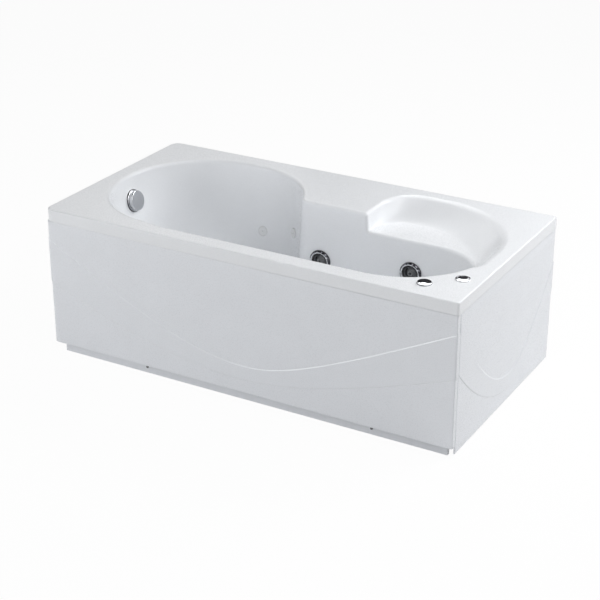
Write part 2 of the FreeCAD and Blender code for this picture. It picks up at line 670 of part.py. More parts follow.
def rounded_section(depth, left, right, front, back, corners):
    """Closed outline at a depth under the deck; the corners run round from the front left one."""
    z = size("rim_height") - depth
    front_left, front_right, back_right, back_left = corners
    bends = [
        (left + front_left, front + front_left, front_left, 180),
        (right - front_right, front + front_right, front_right, 270),
        (right - back_right, back - back_right, back_right, 0),
        (left + back_left, back - back_left, back_left, 90),
    ]
    edges = []
    previous = None
    first = None
    for x, y, radius, start in bends:
        points = []
        for angle in (start, start + 45, start + 90):
            turn = math.radians(angle)
            points.append(Vector(x + radius * math.cos(turn), y + radius * math.sin(turn), z))
        if previous is not None:
            edges.append(Part.LineSegment(previous, points[0]).toShape())
        else:
            first = points[0]
        edges.append(Part.Arc(*points).toShape())
        previous = points[2]
    edges.append(Part.LineSegment(previous, first).toShape())
    return Part.Wire(edges)


def channel_section(depth, inset):
    front = size("channel_front") + size("channel_front_draft") * depth
    back = size("channel_back")
    share = min(1.0, max(0.0, depth / size("shelf_depth")))
    back_corner = size("channel_back_corner") * (1 - share) + size("channel_shelf_corner") * share
    front_corner = min(
        size("channel_front_corner") - size("channel_corner_draft") * depth,
        back - front - back_corner - size("channel_corner_gap"),
    )
    left_corner = size("channel_left_corner")
    return rounded_section(
        depth,
        size("channel_left") + inset,
        size("channel_right") - size("channel_end_draft") * depth - inset,
        front + inset,
        back - inset,
        [corner - inset for corner in (left_corner, front_corner, back_corner, left_corner)],
    )


def bowl_slopes(depth):
    """How far the overflow end, the sides and the armrest side have moved in at a depth."""
    end = size("bowl_end_draft") * depth + size("bowl_end_curve") * depth ** 2
    side = size("bowl_side_draft") * depth + size("bowl_side_curve") * depth ** 2
    return end, side, size("bowl_inner_draft") * depth


def bowl_section(depth, inset):
    end, side, inner = bowl_slopes(depth)
    return rounded_section(
        depth,
        size("bowl_left") + end + inset,
        size("bowl_right") - inner - inset,
        size("bowl_front") + side + inset,
        size("bowl_back") - side - inset,
        [size("bowl_corner") - side - inset] * 4,
    )


def shelf_section(depth, inset):
    share = min(1.0, max(0.0, depth / size("shelf_depth")))
    cove = 1 - (1 - share) ** (1 / size("shelf_bend"))
    back = size("shelf_back_cove") * cove
    front_corner = size("shelf_front_corner") - inset
    return rounded_section(
        depth,
        size("shelf_left") + size("shelf_left_cove") * cove + inset,
        size("shelf_right") - size("shelf_right_cove") * cove - inset,
        size("shelf_front") + inset,
        size("shelf_back") - back - inset,
        [
            front_corner,
            front_corner,
            size("shelf_right_corner") - size("shelf_right_ease") * back - inset,
            size("shelf_left_corner") - size("shelf_left_ease") * back - inset,
        ],
    )


def loft(section, stations):
    return Part.makeLoft([section(depth, inset) for depth, inset in stations], True, True)


def lip_stations():
    """The rounded lip, from just over the deck down to the wall."""
    lip = size("lip")
    stations = [(-size("cut_over"), -lip)]
    for angle in (75, 50, 25, 0):
        turn = math.radians(angle)
        stations.append((lip * (1 - math.sin(turn)), -lip * (1 - math.cos(turn))))
    return stations


def floor_stations(depth, radius, outward):
    """The rounding from wall to floor, ending on the floor."""
    stations = []
    for angle in (0, 22.5, 45, 67.5, 90):
        turn = math.radians(angle)
        stations.append((depth - radius * (1 - math.sin(turn)), radius * (1 - math.cos(turn)) - outward))
    return stations


def wall_stations(top, bottom, outward, count):
    return [(top + (bottom - top) * i / count, -outward) for i in range(1, count)]


def basin_solids(outward):
    """Channel, bowl and shelf recess as solids: the inside, or the outside a wall further out."""
    depth = size("rim_height") - size("floor_height") + outward
    radius = size("floor_round") + outward
    top = lip_stations() if outward == 0 else [(size("shell_wall") / 2, -outward)]
    wall_top = top[-1][0]
    deep = top + wall_stations(wall_top, depth - radius, outward, 6) + floor_stations(depth, radius, outward)
    shelf = size("shelf_depth")
    cove = [(shelf * math.sin(math.radians(a)), -outward) for a in (20, 35, 50, 65, 78, 90)]
    if outward > 0:
        cove.append((shelf + outward, -outward))
    return [loft(channel_section, deep), loft(bowl_section, deep), loft(shelf_section, top + cove)]


def uprights(block, side):
    """Vertical edges on one side of the middle: -1 for the overflow end, 1 for the other."""
    tall = [e for e in block.Edges if abs(e.Vertexes[0].Z - e.Vertexes[1].Z) > 1]
    return [e for e in tall if e.Vertexes[0].X * side > 0]


def rounded_block(length, width, bottom, top, inset, edge):
    """The rim's outline, or the same a wall further in, as a block."""
    block = Part.makeBox(length, width, top - bottom, Vector(-length / 2, -width / 2, bottom))
    block = block.makeFillet(size("rim_left_corner") - inset, uprights(block, -1))
    block = block.makeFillet(size("rim_right_corner") - inset, uprights(block, 1)[:2])
    if edge > 0:
        rim = [e for e in block.Edges if all(abs(v.Z - top) < 1e-6 for v in e.Vertexes)]
        block = block.makeFillet(edge, rim)
    return block


def bowl_wall_point(angle, height):
    """Point on the wall of the bowl's back right corner."""
    end, side, inner = bowl_slopes(size("rim_height") - height)
    radius = size("bowl_corner") - side
    turn = math.radians(angle)
    x = size("bowl_right") - inner - radius * (1 - math.cos(turn))
    y = size("bowl_back") - side - radius * (1 - math.sin(turn))
    return Vector(x, y, height)


def bowl_wall_normal(angle, height):
    """Direction out of the basin, square to that wall."""
    across = bowl_wall_point(angle + 1, height) - bowl_wall_point(angle - 1, height)
    up = bowl_wall_point(angle, height + 1) - bowl_wall_point(angle, height - 1)
    outward = across.cross(up)
    outward.normalize()
    return outward


# Moulded shell

length = size("tub_length")
width = size("tub_width")
deck = size("rim_height")
wall = size("shell_wall")
band_bottom = deck - size("rim_band")
rim = rounded_block(length, width, band_bottom, deck, 0, size("rim_edge"))
under_rim = rounded_block(length - 2 * wall, width - 2 * wall, band_bottom - wall, deck - wall, wall, 0)
overflow_depth = size("overflow_drop")
overflow_slope = size("bowl_end_draft") + 2 * size("bowl_end_curve") * overflow_depth
overflow_out = Vector(1, 0, overflow_slope)
overflow_out.normalize()
overflow_across = AXES["+Y"]
overflow_up = overflow_out.cross(overflow_across)
overflow_in, overflow_side, overflow_inner = bowl_slopes(overflow_depth)
overflow_wall = Vector(size("bowl_left") + overflow_in, size("bowl_middle"), size("overflow_z"))
overflow_bend = size("bowl_corner") - overflow_side
overflow_lift = size("overflow_boss") ** 2 / (2 * overflow_bend) + size("free_gap")
overflow_seat = overflow_wall + overflow_out * overflow_lift
overflow_back = overflow_wall - overflow_out * (wall + size("free_gap"))
overflow_thick = (overflow_seat - overflow_back).Length
overflow_boss = Part.makeCylinder(size("overflow_boss"), overflow_thick, overflow_back, overflow_out)


def on_overflow(along, across=0.0, up=0.0):
    """Point by its distance off the overflow seat, into the basin, and its offsets on the seat."""
    return overflow_seat + overflow_out * along + overflow_across * across + overflow_up * up


outside = rim.cut(under_rim).fuse(basin_solids(wall))
inside = basin_solids(0)
shell = outside.cut(inside).fuse(overflow_boss)

wall_reach = 4 * wall
holes = []
for x, z, radius in (
    (size("jet_one_x"), size("jet_one_z"), size("jet_neck") + size("jet_hole_gap")),
    (size("jet_two_x"), size("jet_two_z"), size("jet_neck") + size("jet_hole_gap")),
    (size("suction_x"), size("suction_z"), size("suction_neck") + size("jet_hole_gap")),
):
    hole_start = Vector(x, size("channel_back") - wall_reach / 2, z)
    holes.append(Part.makeCylinder(radius, wall_reach, hole_start, AXES["+Y"]))
mini_jets = []
for number in ("one", "two"):
    angle = size("mini_%s_angle" % number)
    seat = bowl_wall_point(angle, size("mini_%s_z" % number))
    outward = bowl_wall_normal(angle, size("mini_%s_z" % number))
    mini_jets.append((seat, outward))
    hole_start = seat - outward * wall_reach / 2
    holes.append(Part.makeCylinder(size("mini_neck") + size("free_gap"), wall_reach, hole_start, outward))
hole_start = on_overflow(-1.5 * overflow_thick)
holes.append(Part.makeCylinder(size("overflow_hole"), 2 * overflow_thick, hole_start, overflow_out))
floor_hole = Vector(size("drain_x"), size("drain_y"), size("floor_height") - wall_reach / 2)
holes.append(Part.makeCylinder(size("drain_neck") + size("free_gap"), wall_reach, floor_hole))
for control in ("air", "button"):
    deck_hole = Vector(size(control + "_x"), size(control + "_y"), deck - wall_reach / 2)
    holes.append(Part.makeCylinder(size("control_neck") + size("free_gap"), wall_reach, deck_hole))
node(free_form("tub_shell", shell.cut(holes)))


# Apron panels with their raised wave bands


def bent(offset, soft):
    """A straight arm that rounds into its lowest point."""
    return math.sqrt(offset ** 2 + soft ** 2) - soft


def wave_line(line, centre, start, end, first, second):
    """Height along a panel: from the lowest point up to the two ends of the band."""
    low = size(line + "_low")
    arms = {}
    for arm, reach in ((first, centre - start), (second, end - centre)):
        rise = panel_top - size("%s_%s_drop" % (line, arm)) - low
        arms[arm] = (rise, reach, size("%s_%s_bend" % (line, arm)))

    def height(station):
        offset = station - centre
        rise, reach, soft = arms[first if offset < 0 else second]
        return low + rise * bent(offset, soft) / bent(reach, soft)

    return height


def wave_band(upper, lower, start, end, to_space, push):
    """Solid band between two wave lines, raised off the panel face."""
    count = 12
    lines = []
    for line in (upper, lower):
        stations = [start + (end - start) * i / count for i in range(count + 1)]
        curve = Part.BSplineCurve()
        curve.interpolate([to_space(s, line(s)) for s in stations])
        lines.append(curve.toShape())
    sides = [
        Part.LineSegment(to_space(start, upper(start)), to_space(start, lower(start))).toShape(),
        Part.LineSegment(to_space(end, upper(end)), to_space(end, lower(end))).toShape(),
    ]
    face = Part.Face(Part.Wire(Part.__sortEdges__(lines + sides)))
    return face.extrude(push)


def tray(low, high, open_side, sheet_thickness):
    """Thin panel with folded edges, open towards the frame; low and high are its corners."""
    span = high - low
    outer = Part.makeBox(span.x, span.y, span.z, low)
    inner_low = Vector(low.x + sheet_thickness, low.y + sheet_thickness, low.z + sheet_thickness)
    inner_high = Vector(high.x - sheet_thickness, high.y - sheet_thickness, high.z - sheet_thickness)
    if open_side == "+Y":
        inner_high.y = high.y + sheet_thickness
    else:
        inner_low.x = low.x - sheet_thickness
    hollow_span = inner_high - inner_low
    return outer, Part.makeBox(hollow_span.x, hollow_span.y, hollow_span.z, inner_low)


face_y = -width / 2 + size("panel_set_back")
face_x = length / 2 - size("panel_set_back")
panel_top = band_bottom - size("rim_seam")
panel_sheet = size("panel_sheet")
front_outer, front_inner = tray(
    Vector(-face_x, face_y, size("front_panel_bottom")),
    Vector(face_x, face_y + size("panel_return"), panel_top),
    "+Y",
    panel_sheet,
)
front_panel = front_outer
corner_limit = size("panel_return") - size("panel_fold_flat")
panel_rounds = {}
for side, sign in (("left", -1), ("right", 1)):
    panel_rounds[side] = min(size("panel_%s_corner" % side), corner_limit)
    front_corner = [e for e in uprights(front_panel, sign) if abs(e.Vertexes[0].Y - face_y) < 1e-6]
    front_panel = front_panel.makeFillet(panel_rounds[side], front_corner[:1])
front_panel = front_panel.cut(front_inner)
front_start = -face_x + panel_rounds["left"]
front_end = face_x - panel_rounds["right"]
front_middle = size("front_wave_x")
front_upper = wave_line("front_wave", front_middle, front_start, front_end, "left", "right")
front_middle -= size("front_dip_shift")
front_lower = wave_line("front_dip", front_middle, front_start, front_end, "left", "right")
front_band = wave_band(
    front_upper,
    front_lower,
    front_start,
    front_end,
    lambda x, z: Vector(x, face_y + panel_sheet / 2, z),
    Vector(0, -panel_sheet / 2 - size("wave_rise"), 0),
)
node(free_form("front_panel", front_panel.fuse(front_band)))

end_front = face_y + size("panel_wrap") + size("panel_gap")
end_outer, end_inner = tray(
    Vector(face_x - size("panel_return"), end_front, size("end_panel_bottom")),
    Vector(face_x, -face_y, panel_top),
    "-X",
    panel_sheet,
)
end_start = end_front + panel_sheet
end_stop = -face_y - panel_sheet
end_upper = wave_line("end_wave", size("end_wave_y"), end_start, end_stop, "front", "back")
end_lower = wave_line("end_dip", size("end_wave_y"), end_start, end_stop, "front", "back")
end_band = wave_band(
    end_upper,
    end_lower,
    end_start,
    end_stop,
    lambda y, z: Vector(face_x - panel_sheet / 2, y, z),
    Vector(panel_sheet / 2 + size("wave_rise"), 0, 0),
)
node(free_form("end_panel", end_outer.cut(end_inner).fuse(end_band)))

# Plinth and its screws

PLINTH_FACE = "-tub_width / 2 + panel_set_back + plinth_recess"
plinth_board = box(
    "plinth_board",
    "tub_length - plinth_left_inset - plinth_right_inset",
    "plinth_sheet",
    "front_panel_bottom - plinth_clear",
    "-tub_length / 2 + plinth_left_inset",
    PLINTH_FACE,
    "plinth_clear",
)
screws = []
screw_holes = []
for side in ("left", "right"):
    x = "screw_%s_x" % side
    head = rod("head_" + side, "screw_head", "screw_head_rise", x, PLINTH_FACE, "screw_height", "-Y")
    shank = rod("shank_" + side, "screw_shank", "plinth_sheet", x, PLINTH_FACE, "screw_height", "+Y")
    screws.append(fuse("screw_" + side, head, shank))
    bore = "screw_shank + running_gap"
    screw_holes.append(
        rod("screw_hole_" + side, bore, "plinth_sheet", x, PLINTH_FACE, "screw_height", "+Y")
    )
node(cut("front_plinth", plinth_board, *screw_holes))
node(group("panel_screws", *screws))

# Steel frame under and round the shell

HALF = " - frame_tube / 2"
CROSS_TOP = "frame_base + frame_tube"
feet = []
foot_holes = []
for number, (side, y_sign) in enumerate((("left", -1), ("left", 1), ("right", -1), ("right", 1)), start=1):
    feet.append((number, "post_%s_x" % side, "%d * foot_y" % y_sign))

members = []
for name, x in (
    ("left", "post_left_x"),
    ("one", "cross_one_x"),
    ("two", "cross_two_x"),
    ("three", "cross_three_x"),
    ("right", "post_right_x"),
):
    reach = "2 * post_y + frame_tube"
    member = square_tube("cross_" + name, reach, x + HALF, "-post_y" + HALF, "frame_base", "Y")
    drills = [
        rod("foot_hole_%d" % number, "foot_stem + running_gap", "frame_tube", foot_x, foot_y, "frame_base")
        for number, foot_x, foot_y in feet
        if foot_x == x
    ]
    members.append(cut("cross_drilled_" + name, member, *drills) if drills else member)
node(group("frame_cross_members", *members))

RAIL_LENGTH = "post_right_x - post_left_x"
node(
    group(
        "frame_long_rails",
        square_tube("rail_front", RAIL_LENGTH, "post_left_x", "rail_front_y" + HALF, CROSS_TOP, "X"),
        square_tube("rail_back", RAIL_LENGTH, "post_left_x", "rail_back_y" + HALF, CROSS_TOP, "X"),
    )
)
posts = []
for side in ("left", "right"):
    for place_name, y in (("front", "-post_y"), ("back", "post_y")):
        post = square_tube(
            "post_%s_%s" % (side, place_name),
            "rim_height - shell_wall - frame_base - frame_tube",
            "post_%s_x" % side + HALF,
            y + HALF,
            CROSS_TOP,
            "Z",
        )
        posts.append(post)
node(group("frame_posts", *posts))

RIM_RAIL_Z = "rim_height - shell_wall - rim_rail"
rim_rails = []
for name, y in (("front", "-post_y"), ("back", "rim_rail_back_y")):
    rim_rails.append(
        square_tube(
            "rim_rail_" + name,
            RAIL_LENGTH + " - frame_tube",
            "post_left_x + frame_tube / 2",
            y + " - rim_rail / 2",
            RIM_RAIL_Z,
            "X",
            "rim_rail",
        )
    )
node(group("frame_rim_rails", *rim_rails))
node(
    box(
        "base_board",
        "board_right - board_left",
        "board_back - board_front",
        "floor_height - shell_wall - frame_base - 2 * frame_tube",
        "board_left",
        "board_front",
        CROSS_TOP + " + frame_tube",
    )
)
brackets = []
for level in ("low", "high"):
    for side in ("left", "right"):
        brackets.append(
            box(
                "front_bracket_%s_%s" % (level, side),
                "bracket_width",
                "tub_width / 2 - panel_set_back - panel_sheet - post_y - frame_tube / 2",
                "bracket_height",
                "post_%s_x - bracket_width / 2" % side,
                "-tub_width / 2 + panel_set_back + panel_sheet",
                "bracket_" + level,
            )
        )
    for place_name, y in (("front", "-post_y"), ("back", "post_y")):
        brackets.append(
            box(
                "end_bracket_%s_%s" % (level, place_name),
                "tub_length / 2 - panel_set_back - panel_sheet - post_right_x - frame_tube / 2",
                "bracket_width",
                "bracket_height",
                "post_right_x + frame_tube / 2",
                y + " - bracket_width / 2" + (" + panel_return / 2" if place_name == "front" else ""),
                "bracket_" + level,
            )
        )
node(group("panel_brackets", *brackets))

# Levelling feet

lock_nuts = []
for number, x, y in feet:
    node(
        turned(
            "levelling_foot_%d" % number,
            [
                ("0", "0"),
                ("foot_pad", "0"),
                ("foot_pad", "foot_pad_edge"),
                ("foot_stem + foot_shoulder", "foot_pad_rise"),
                ("foot_stem", "foot_pad_rise"),
                ("foot_stem", "foot_stem_top"),
                ("0", "foot_stem_top"),
            ],
            x,
            y,
            0,
        )
    )
    nut_z = "frame_base - foot_nut_rise"
    nut = hexagon("foot_nut_body_%d" % number, "foot_nut", "foot_nut_rise", x, y, nut_z)
    bore = rod("foot_nut_bore_%d" % number, "foot_stem + running_gap", "foot_nut_rise", x, y, nut_z)
    lock_nuts.append(cut("foot_nut_%d" % number, nut, bore))
node(group("foot_lock_nuts", *lock_nuts))

# Jets: local height 0 is the wall face, the axis points into the basin

gaskets = []
jet_nuts = []
jet_bodies = []
SEAT = "jet_gasket + jet_flange_rise"
BALL_ROOM = "(jet_ball_depth + jet_bore + jet_ball_clear)"
for number in ("one", "two"):
    x = "jet_%s_x" % number
    z = "jet_%s_z" % number
    gaskets.append(
        turned(
            "jet_gasket_" + number,
            [
                ("jet_neck + jet_hole_gap", "0"),
                ("jet_flange", "0"),
                ("jet_flange", "jet_gasket"),
                ("jet_neck + jet_hole_gap", "jet_gasket"),
            ],
            x,
            "channel_back",
            z,
            "-Y",
        )
    )
    nut_y = "channel_back + shell_wall + jet_nut_rise"
    jet_nuts.append(
        turned(
            "jet_nut_" + number,
            [
                ("jet_neck + running_gap", "0"),
                ("jet_nut - jet_nut_chamfer", "0"),
                ("jet_nut", "jet_nut_chamfer"),
                ("jet_nut", "jet_nut_rise"),
                ("jet_neck + running_gap", "jet_nut_rise"),
            ],
            x,
            nut_y,
            z,
            "-Y",
        )
    )
    barrel = turned(
        "jet_barrel_" + number,
        [
            ("0", "0"),
            ("jet_neck", "0"),
            ("jet_neck", "jet_length + jet_gasket"),
            ("jet_flange", "jet_length + jet_gasket"),
            ("jet_flange", "jet_length + " + SEAT),
            ("jet_bore", "jet_length + " + SEAT),
            ("jet_bore", "jet_length - " + BALL_ROOM),
            ("0", "jet_length - " + BALL_ROOM),
        ],
        x,
        "channel_back + jet_length",
        z,
        "-Y",
    )
    port_y = "channel_back + jet_length - jet_port_inset"
    port = rod("jet_port_" + number, "jet_port", "jet_port_reach", x, port_y, z, "+Z")
    socket = rod(
        "jet_socket_" + number,
        "pipe + running_gap",
        "pipe_insert",
        x,
        port_y,
        z + " + jet_port_reach - pipe_insert",
        "+Z",
    )
    way = rod("jet_way_" + number, "pipe - pipe_wall", "jet_port_reach", x, port_y, z, "+Z")
    air_socket = rod(
        "jet_air_" + number,
        "air_tube + running_gap",
        "jet_air_socket",
        x,
        "channel_back + jet_length - jet_air_socket",
        z,
        "+Y",
    )
    throat = rod("jet_throat_" + number, "jet_throat", "jet_port_inset", x, port_y, z, "-Y")
    air_way = rod("jet_air_way_" + number, "jet_throat / 2", "jet_port_inset", x, port_y, z, "+Y")
    jet_solid = fuse("jet_solid_" + number, barrel, port)
    cavity = rod(
        "jet_cavity_" + number,
        "jet_bore",
        BALL_ROOM,
        x,
        "channel_back",
        z,
        "+Y",
    )
    jet_bodies.append(cut("jet_body_" + number, jet_solid, socket, way, air_socket, throat, air_way, cavity))

    bezel = turned(
        "jet_bezel_turned_" + number,
        [
            ("jet_flange + free_gap", "free_gap"),
            ("jet_bezel", "free_gap"),
            ("jet_bezel", SEAT),
            ("jet_bezel - jet_bezel_bevel", SEAT + " + jet_bezel_shoulder"),
            ("jet_bezel - jet_bezel_crown", SEAT + " + jet_bezel_rise"),
            ("jet_bore + jet_bezel_cone", SEAT + " + jet_bezel_dish"),
            ("jet_bore + jet_bezel_throat", SEAT + " + free_gap"),
            ("jet_flange + free_gap", SEAT + " + free_gap"),
        ],
        x,
        "channel_back",
        z,
        "-Y",
    )
    grip = rod(
        "jet_bezel_grip_" + number,
        "jet_grip",
        SEAT + " + jet_bezel_rise + 2 * cut_over",
        x + " + jet_bezel + jet_grip_out",
        "channel_back - free_gap + cut_over",
        z,
        "-Y",
    )
    node(cut("jet_bezel_" + {"one": "1", "two": "2"}[number], bezel, grip))

    ball_y = "channel_back + jet_ball_depth"
    ball = doc.addObject("Part::Sphere", "jet_ball_" + number)
    bind(ball, Radius="jet_bore - free_gap")
    place(ball, x, ball_y, z)
    tip = rod("jet_tip_" + number, "jet_nozzle", "jet_nozzle_reach", x, ball_y, z, "-Y")
    bore = rod(
        "jet_tip_bore_" + number,
        "jet_nozzle_bore",
        "2 * jet_nozzle_reach",
        x,
        "channel_back + jet_ball_depth + jet_nozzle_reach",
        z,
        "-Y",
    )
    node(cut("jet_nozzle_" + {"one": "1", "two": "2"}[number], fuse("jet_eye_" + number, ball, tip), bore))
node(group("jet_gaskets", *gaskets))
node(group("jet_lock_nuts", *jet_nuts))
node(group("jet_bodies", *jet_bodies))

# Small white jets in the bowl wall

mini_faces = []
mini_bodies = []
mini_ends = []
bowl_bend = size("bowl_corner") - bowl_slopes(deck - size("mini_one_z"))[1]
face_lift = size("mini_face") ** 2 / (2 * bowl_bend) + size("free_gap")
for number, (seat, outward) in zip(("one", "two"), mini_jets):
    base = seat - outward * face_lift
    mini_faces.append(
        turned(
            "mini_face_" + number,
            [
                ("mini_bore", "0"),
                ("mini_face", "0"),
                ("mini_face", "mini_face_edge"),
                ("mini_face - mini_face_bevel", "mini_face_rise"),
                ("mini_bore", "mini_face_dish"),
            ],
            base.x,
            base.y,
            base.z,
            outward * -1,
        )
    )
    mini_bodies.append(
        turned(
            "mini_body_" + number,
            [
                ("mini_bore", "0"),
                ("mini_neck", "0"),
                ("mini_neck", "mini_length"),
                ("0", "mini_length"),
                ("0", "mini_length - mini_end_wall"),
                ("mini_bore", "mini_length - mini_end_wall"),
            ],
            base.x,
            base.y,
            base.z,
            outward,
        )
    )
    mini_ends.append(base + outward * size("mini_length"))
node(group("mini_jet_faces", *mini_faces))
node(group("mini_jet_bodies", *mini_bodies))

# Suction fitting

suction_ring = [
    ("suction_neck + running_gap", "0"),
    ("suction_nut", "0"),
    ("suction_nut", "jet_nut_rise"),
    ("suction_neck + running_gap", "jet_nut_rise"),
]
nut_y = "channel_back + shell_wall + jet_nut_rise"
node(turned("suction_nut", suction_ring, "suction_x", nut_y, "suction_z", "-Y"))
suction_barrel = turned(
    "suction_barrel",
    [
        ("0", "0"),
        ("suction_neck", "0"),
        ("suction_neck", "suction_length"),
        ("suction_nut", "suction_length"),
        ("suction_nut", "suction_length + suction_flange_rise"),
        ("suction_neck - suction_wall", "suction_length + suction_flange_rise"),
        ("suction_neck - suction_wall", "pipe_insert + suction_wall"),
        ("0", "pipe_insert + suction_wall"),
    ],
    "suction_x",
    "channel_back + suction_length",
    "suction_z",
    "-Y",
)
suction_socket = rod(
    "suction_socket",
    "pipe + running_gap",
    "pipe_insert",
    "suction_x",
    "channel_back + suction_length - pipe_insert",
    "suction_z",
    "+Y",
)
suction_way = rod(
    "suction_way",
    "pipe - pipe_wall",
    "suction_length",
    "suction_x",
    "channel_back",
    "suction_z",
    "+Y",
)
node(cut("suction_body", suction_barrel, suction_socket, suction_way))
CAP_INSIDE = "suction_face_rise - suction_face_sheet"
suction_cap = turned(
    "suction_cap",
    [
        ("0", CAP_INSIDE),
        ("suction_face - 2 * suction_face_fold", CAP_INSIDE + " - suction_face_dome"),
        ("suction_face - suction_face_fold", "suction_flange_rise"),
        ("suction_nut + free_gap", "suction_flange_rise"),
        ("suction_nut + free_gap", "0"),
        ("suction_face", "0"),
        ("suction_face", "suction_face_rise / 2"),
        ("suction_face - suction_face_bevel", "suction_face_rise"),
        ("0", "suction_face_rise + suction_face_dome"),
    ],
    "suction_x",
    "channel_back",
    "suction_z",
    "-Y",
)
grille = []
INNER_HOLES = 6
OUTER_HOLES = 12
for ring, count in (("inner", INNER_HOLES), ("outer", OUTER_HOLES)):
    for i in range(count):
        turn = math.radians(360.0 * i / count)
        x = "suction_x + suction_%s_ring * %.4f" % (ring, math.cos(turn))
        z = "suction_z + suction_%s_ring * %.4f" % (ring, math.sin(turn))
        hole = "suction_hole_%s_%d" % (ring, i)
        grille.append(rod(hole, "suction_hole", "2 * suction_face_rise", x, "channel_back", z, "-Y"))
node(cut("suction_cover", suction_cap, *grille))

# Waste and overflow

node(
    turned(
        "waste_flange",
        [
            ("drain_bore", "0"),
            ("drain_neck", "0"),
            ("drain_neck", "drain_neck_length"),
            ("drain_flange", "drain_neck_length"),
            ("drain_flange - drain_flange_bevel", "drain_neck_length + drain_flange_rise"),
            ("drain_bore", "drain_neck_length + drain_flange_rise"),
        ],
        "drain_x",
        "drain_y",
        "floor_height - drain_neck_length",
    )
)
PLUG_BASE = "(drain_stem_length + drain_plug_seat)"
node(
    turned(
        "drain_plug",
        [
            ("0", "0"),
            ("drain_stem", "0"),
            ("drain_stem", "drain_stem_length"),
            ("drain_bore - drain_seat_gap", "drain_stem_length"),
            ("drain_bore - drain_seat_gap", PLUG_BASE),
            ("drain_plug", PLUG_BASE),
            ("drain_plug - drain_plug_lean", PLUG_BASE + " + drain_plug_rise / 2"),
            ("drain_plug - drain_plug_bevel", PLUG_BASE + " + drain_plug_rise"),
            ("0", PLUG_BASE + " + drain_plug_rise + drain_plug_dome"),
        ],
        "drain_x",
        "drain_y",
        "floor_height + drain_flange_rise + free_gap - " + PLUG_BASE,
    )
)
node(
    turned(
        "waste_gasket",
        [
            ("drain_neck + free_gap", "0"),
            ("waste_flange", "0"),
            ("waste_flange", "waste_gasket"),
            ("drain_neck + free_gap", "waste_gasket"),
        ],
        "drain_x",
        "drain_y",
        "floor_height - shell_wall - waste_gasket",
    )
)
WASTE_TOP = "floor_height - shell_wall - waste_gasket - waste_bottom"
waste_cup = turned(
    "waste_cup",
    [
        ("0", "0"),
        ("waste_cup", "0"),
        ("waste_cup", WASTE_TOP + " - waste_wall"),
        ("waste_flange", WASTE_TOP + " - waste_wall"),
        ("waste_flange", WASTE_TOP),
        ("drain_neck + free_gap", WASTE_TOP),
        ("drain_neck + free_gap", "waste_wall"),
        ("0", "waste_wall"),
    ],
    "drain_x",
    "drain_y",
    "waste_bottom",
)
drain = Vector(size("drain_x"), size("drain_y"), size("overflow_run_z"))
overflow_tap = on_overflow(-overflow_thick - size("overflow_cup_length") / 2)
overflow_foot = Vector(overflow_tap.x, size("bowl_middle"), size("overflow_run_z"))
to_overflow = overflow_foot - drain
to_overflow.normalize()
cup_bore = size("drain_neck") + size("free_gap")
SOCKET_OUTSIDE = "overflow_pipe + overflow_socket_wall"
SOCKET_INSIDE = "overflow_pipe + running_gap"
side_port = rod("waste_side_port", SOCKET_OUTSIDE, "waste_side_reach", *drain, to_overflow)
side_socket = rod("waste_side_socket", SOCKET_INSIDE, "waste_side_reach", *drain, to_overflow)
outlet_place = ("drain_x", "drain_y", "waste_outlet_z", "+Y")
outlet = rod("waste_outlet", "waste_outlet", "waste_outlet_reach", *outlet_place)
outlet_collar = rod(
    "waste_outlet_collar", "waste_outlet + waste_collar", "waste_outlet_reach - waste_spigot", *outlet_place
)
outlet_way = rod("waste_outlet_way", "waste_outlet - waste_outlet_wall", "waste_outlet_reach", *outlet_place)
cup_way = rod(
    "waste_cup_way",
    "drain_neck + free_gap",
    WASTE_TOP + " - waste_wall",
    "drain_x",
    "drain_y",
    "waste_bottom + waste_wall",
)
waste_solid = fuse("waste_solid", waste_cup, side_port, outlet, outlet_collar)
node(cut("waste_body", waste_solid, side_socket, outlet_way, cup_way))

node(
    turned(
        "overflow_gasket",
        [
            ("overflow_hole", "0"),
            ("overflow_face - overflow_gasket_inset", "0"),
            ("overflow_face - overflow_gasket_inset", "overflow_gasket"),
            ("overflow_hole", "overflow_gasket"),
        ],
        *on_overflow(0),
        overflow_out,
    )
)
rosette_base = size("overflow_gasket")
rosette = turned(
    "overflow_rosette_plate",
    [
        ("overflow_stem + running_gap", "0"),
        ("overflow_face", "0"),
        ("overflow_face", "overflow_face_rise / 2"),
        ("overflow_face - overflow_face_bevel", "overflow_face_rise"),
        ("overflow_stem + running_gap", "overflow_face_rise"),
    ],
    *on_overflow(rosette_base),
    overflow_out,
)
slots = []
OVERFLOW_SLOTS = 6
for i in range(OVERFLOW_SLOTS):
    turn = 2 * math.pi * i / OVERFLOW_SLOTS
    reach = size("overflow_slot_ring")
    slot_base = on_overflow(rosette_base, reach * math.cos(turn), reach * math.sin(turn))
    slots.append(rod("overflow_slot_%d" % i, "overflow_slot", "overflow_face_rise", *slot_base, overflow_out))
node(cut("overflow_rosette", rosette, *slots))
KNOB_BASE = "overflow_stem_length + overflow_face_rise + overflow_knob_lift"
knob_blank = turned(
    "overflow_knob_blank",
    [
        ("0", "0"),
        ("overflow_stem", "0"),
        ("overflow_stem", KNOB_BASE),
        ("overflow_knob - overflow_knob_edge", KNOB_BASE),
        ("overflow_knob", KNOB_BASE + " + overflow_knob_edge"),
        ("overflow_knob", KNOB_BASE + " + overflow_knob_rise - overflow_knob_bevel"),
        ("overflow_knob - overflow_knob_bevel", KNOB_BASE + " + overflow_knob_rise"),
        ("0", KNOB_BASE + " + overflow_knob_rise + overflow_knob_dome"),
    ],
    *on_overflow(rosette_base - size("overflow_stem_length")),
    overflow_out,
)
flutes = []
flute_base = rosette_base + size("overflow_face_rise") + size("free_gap")
KNOB_FLUTES = 6
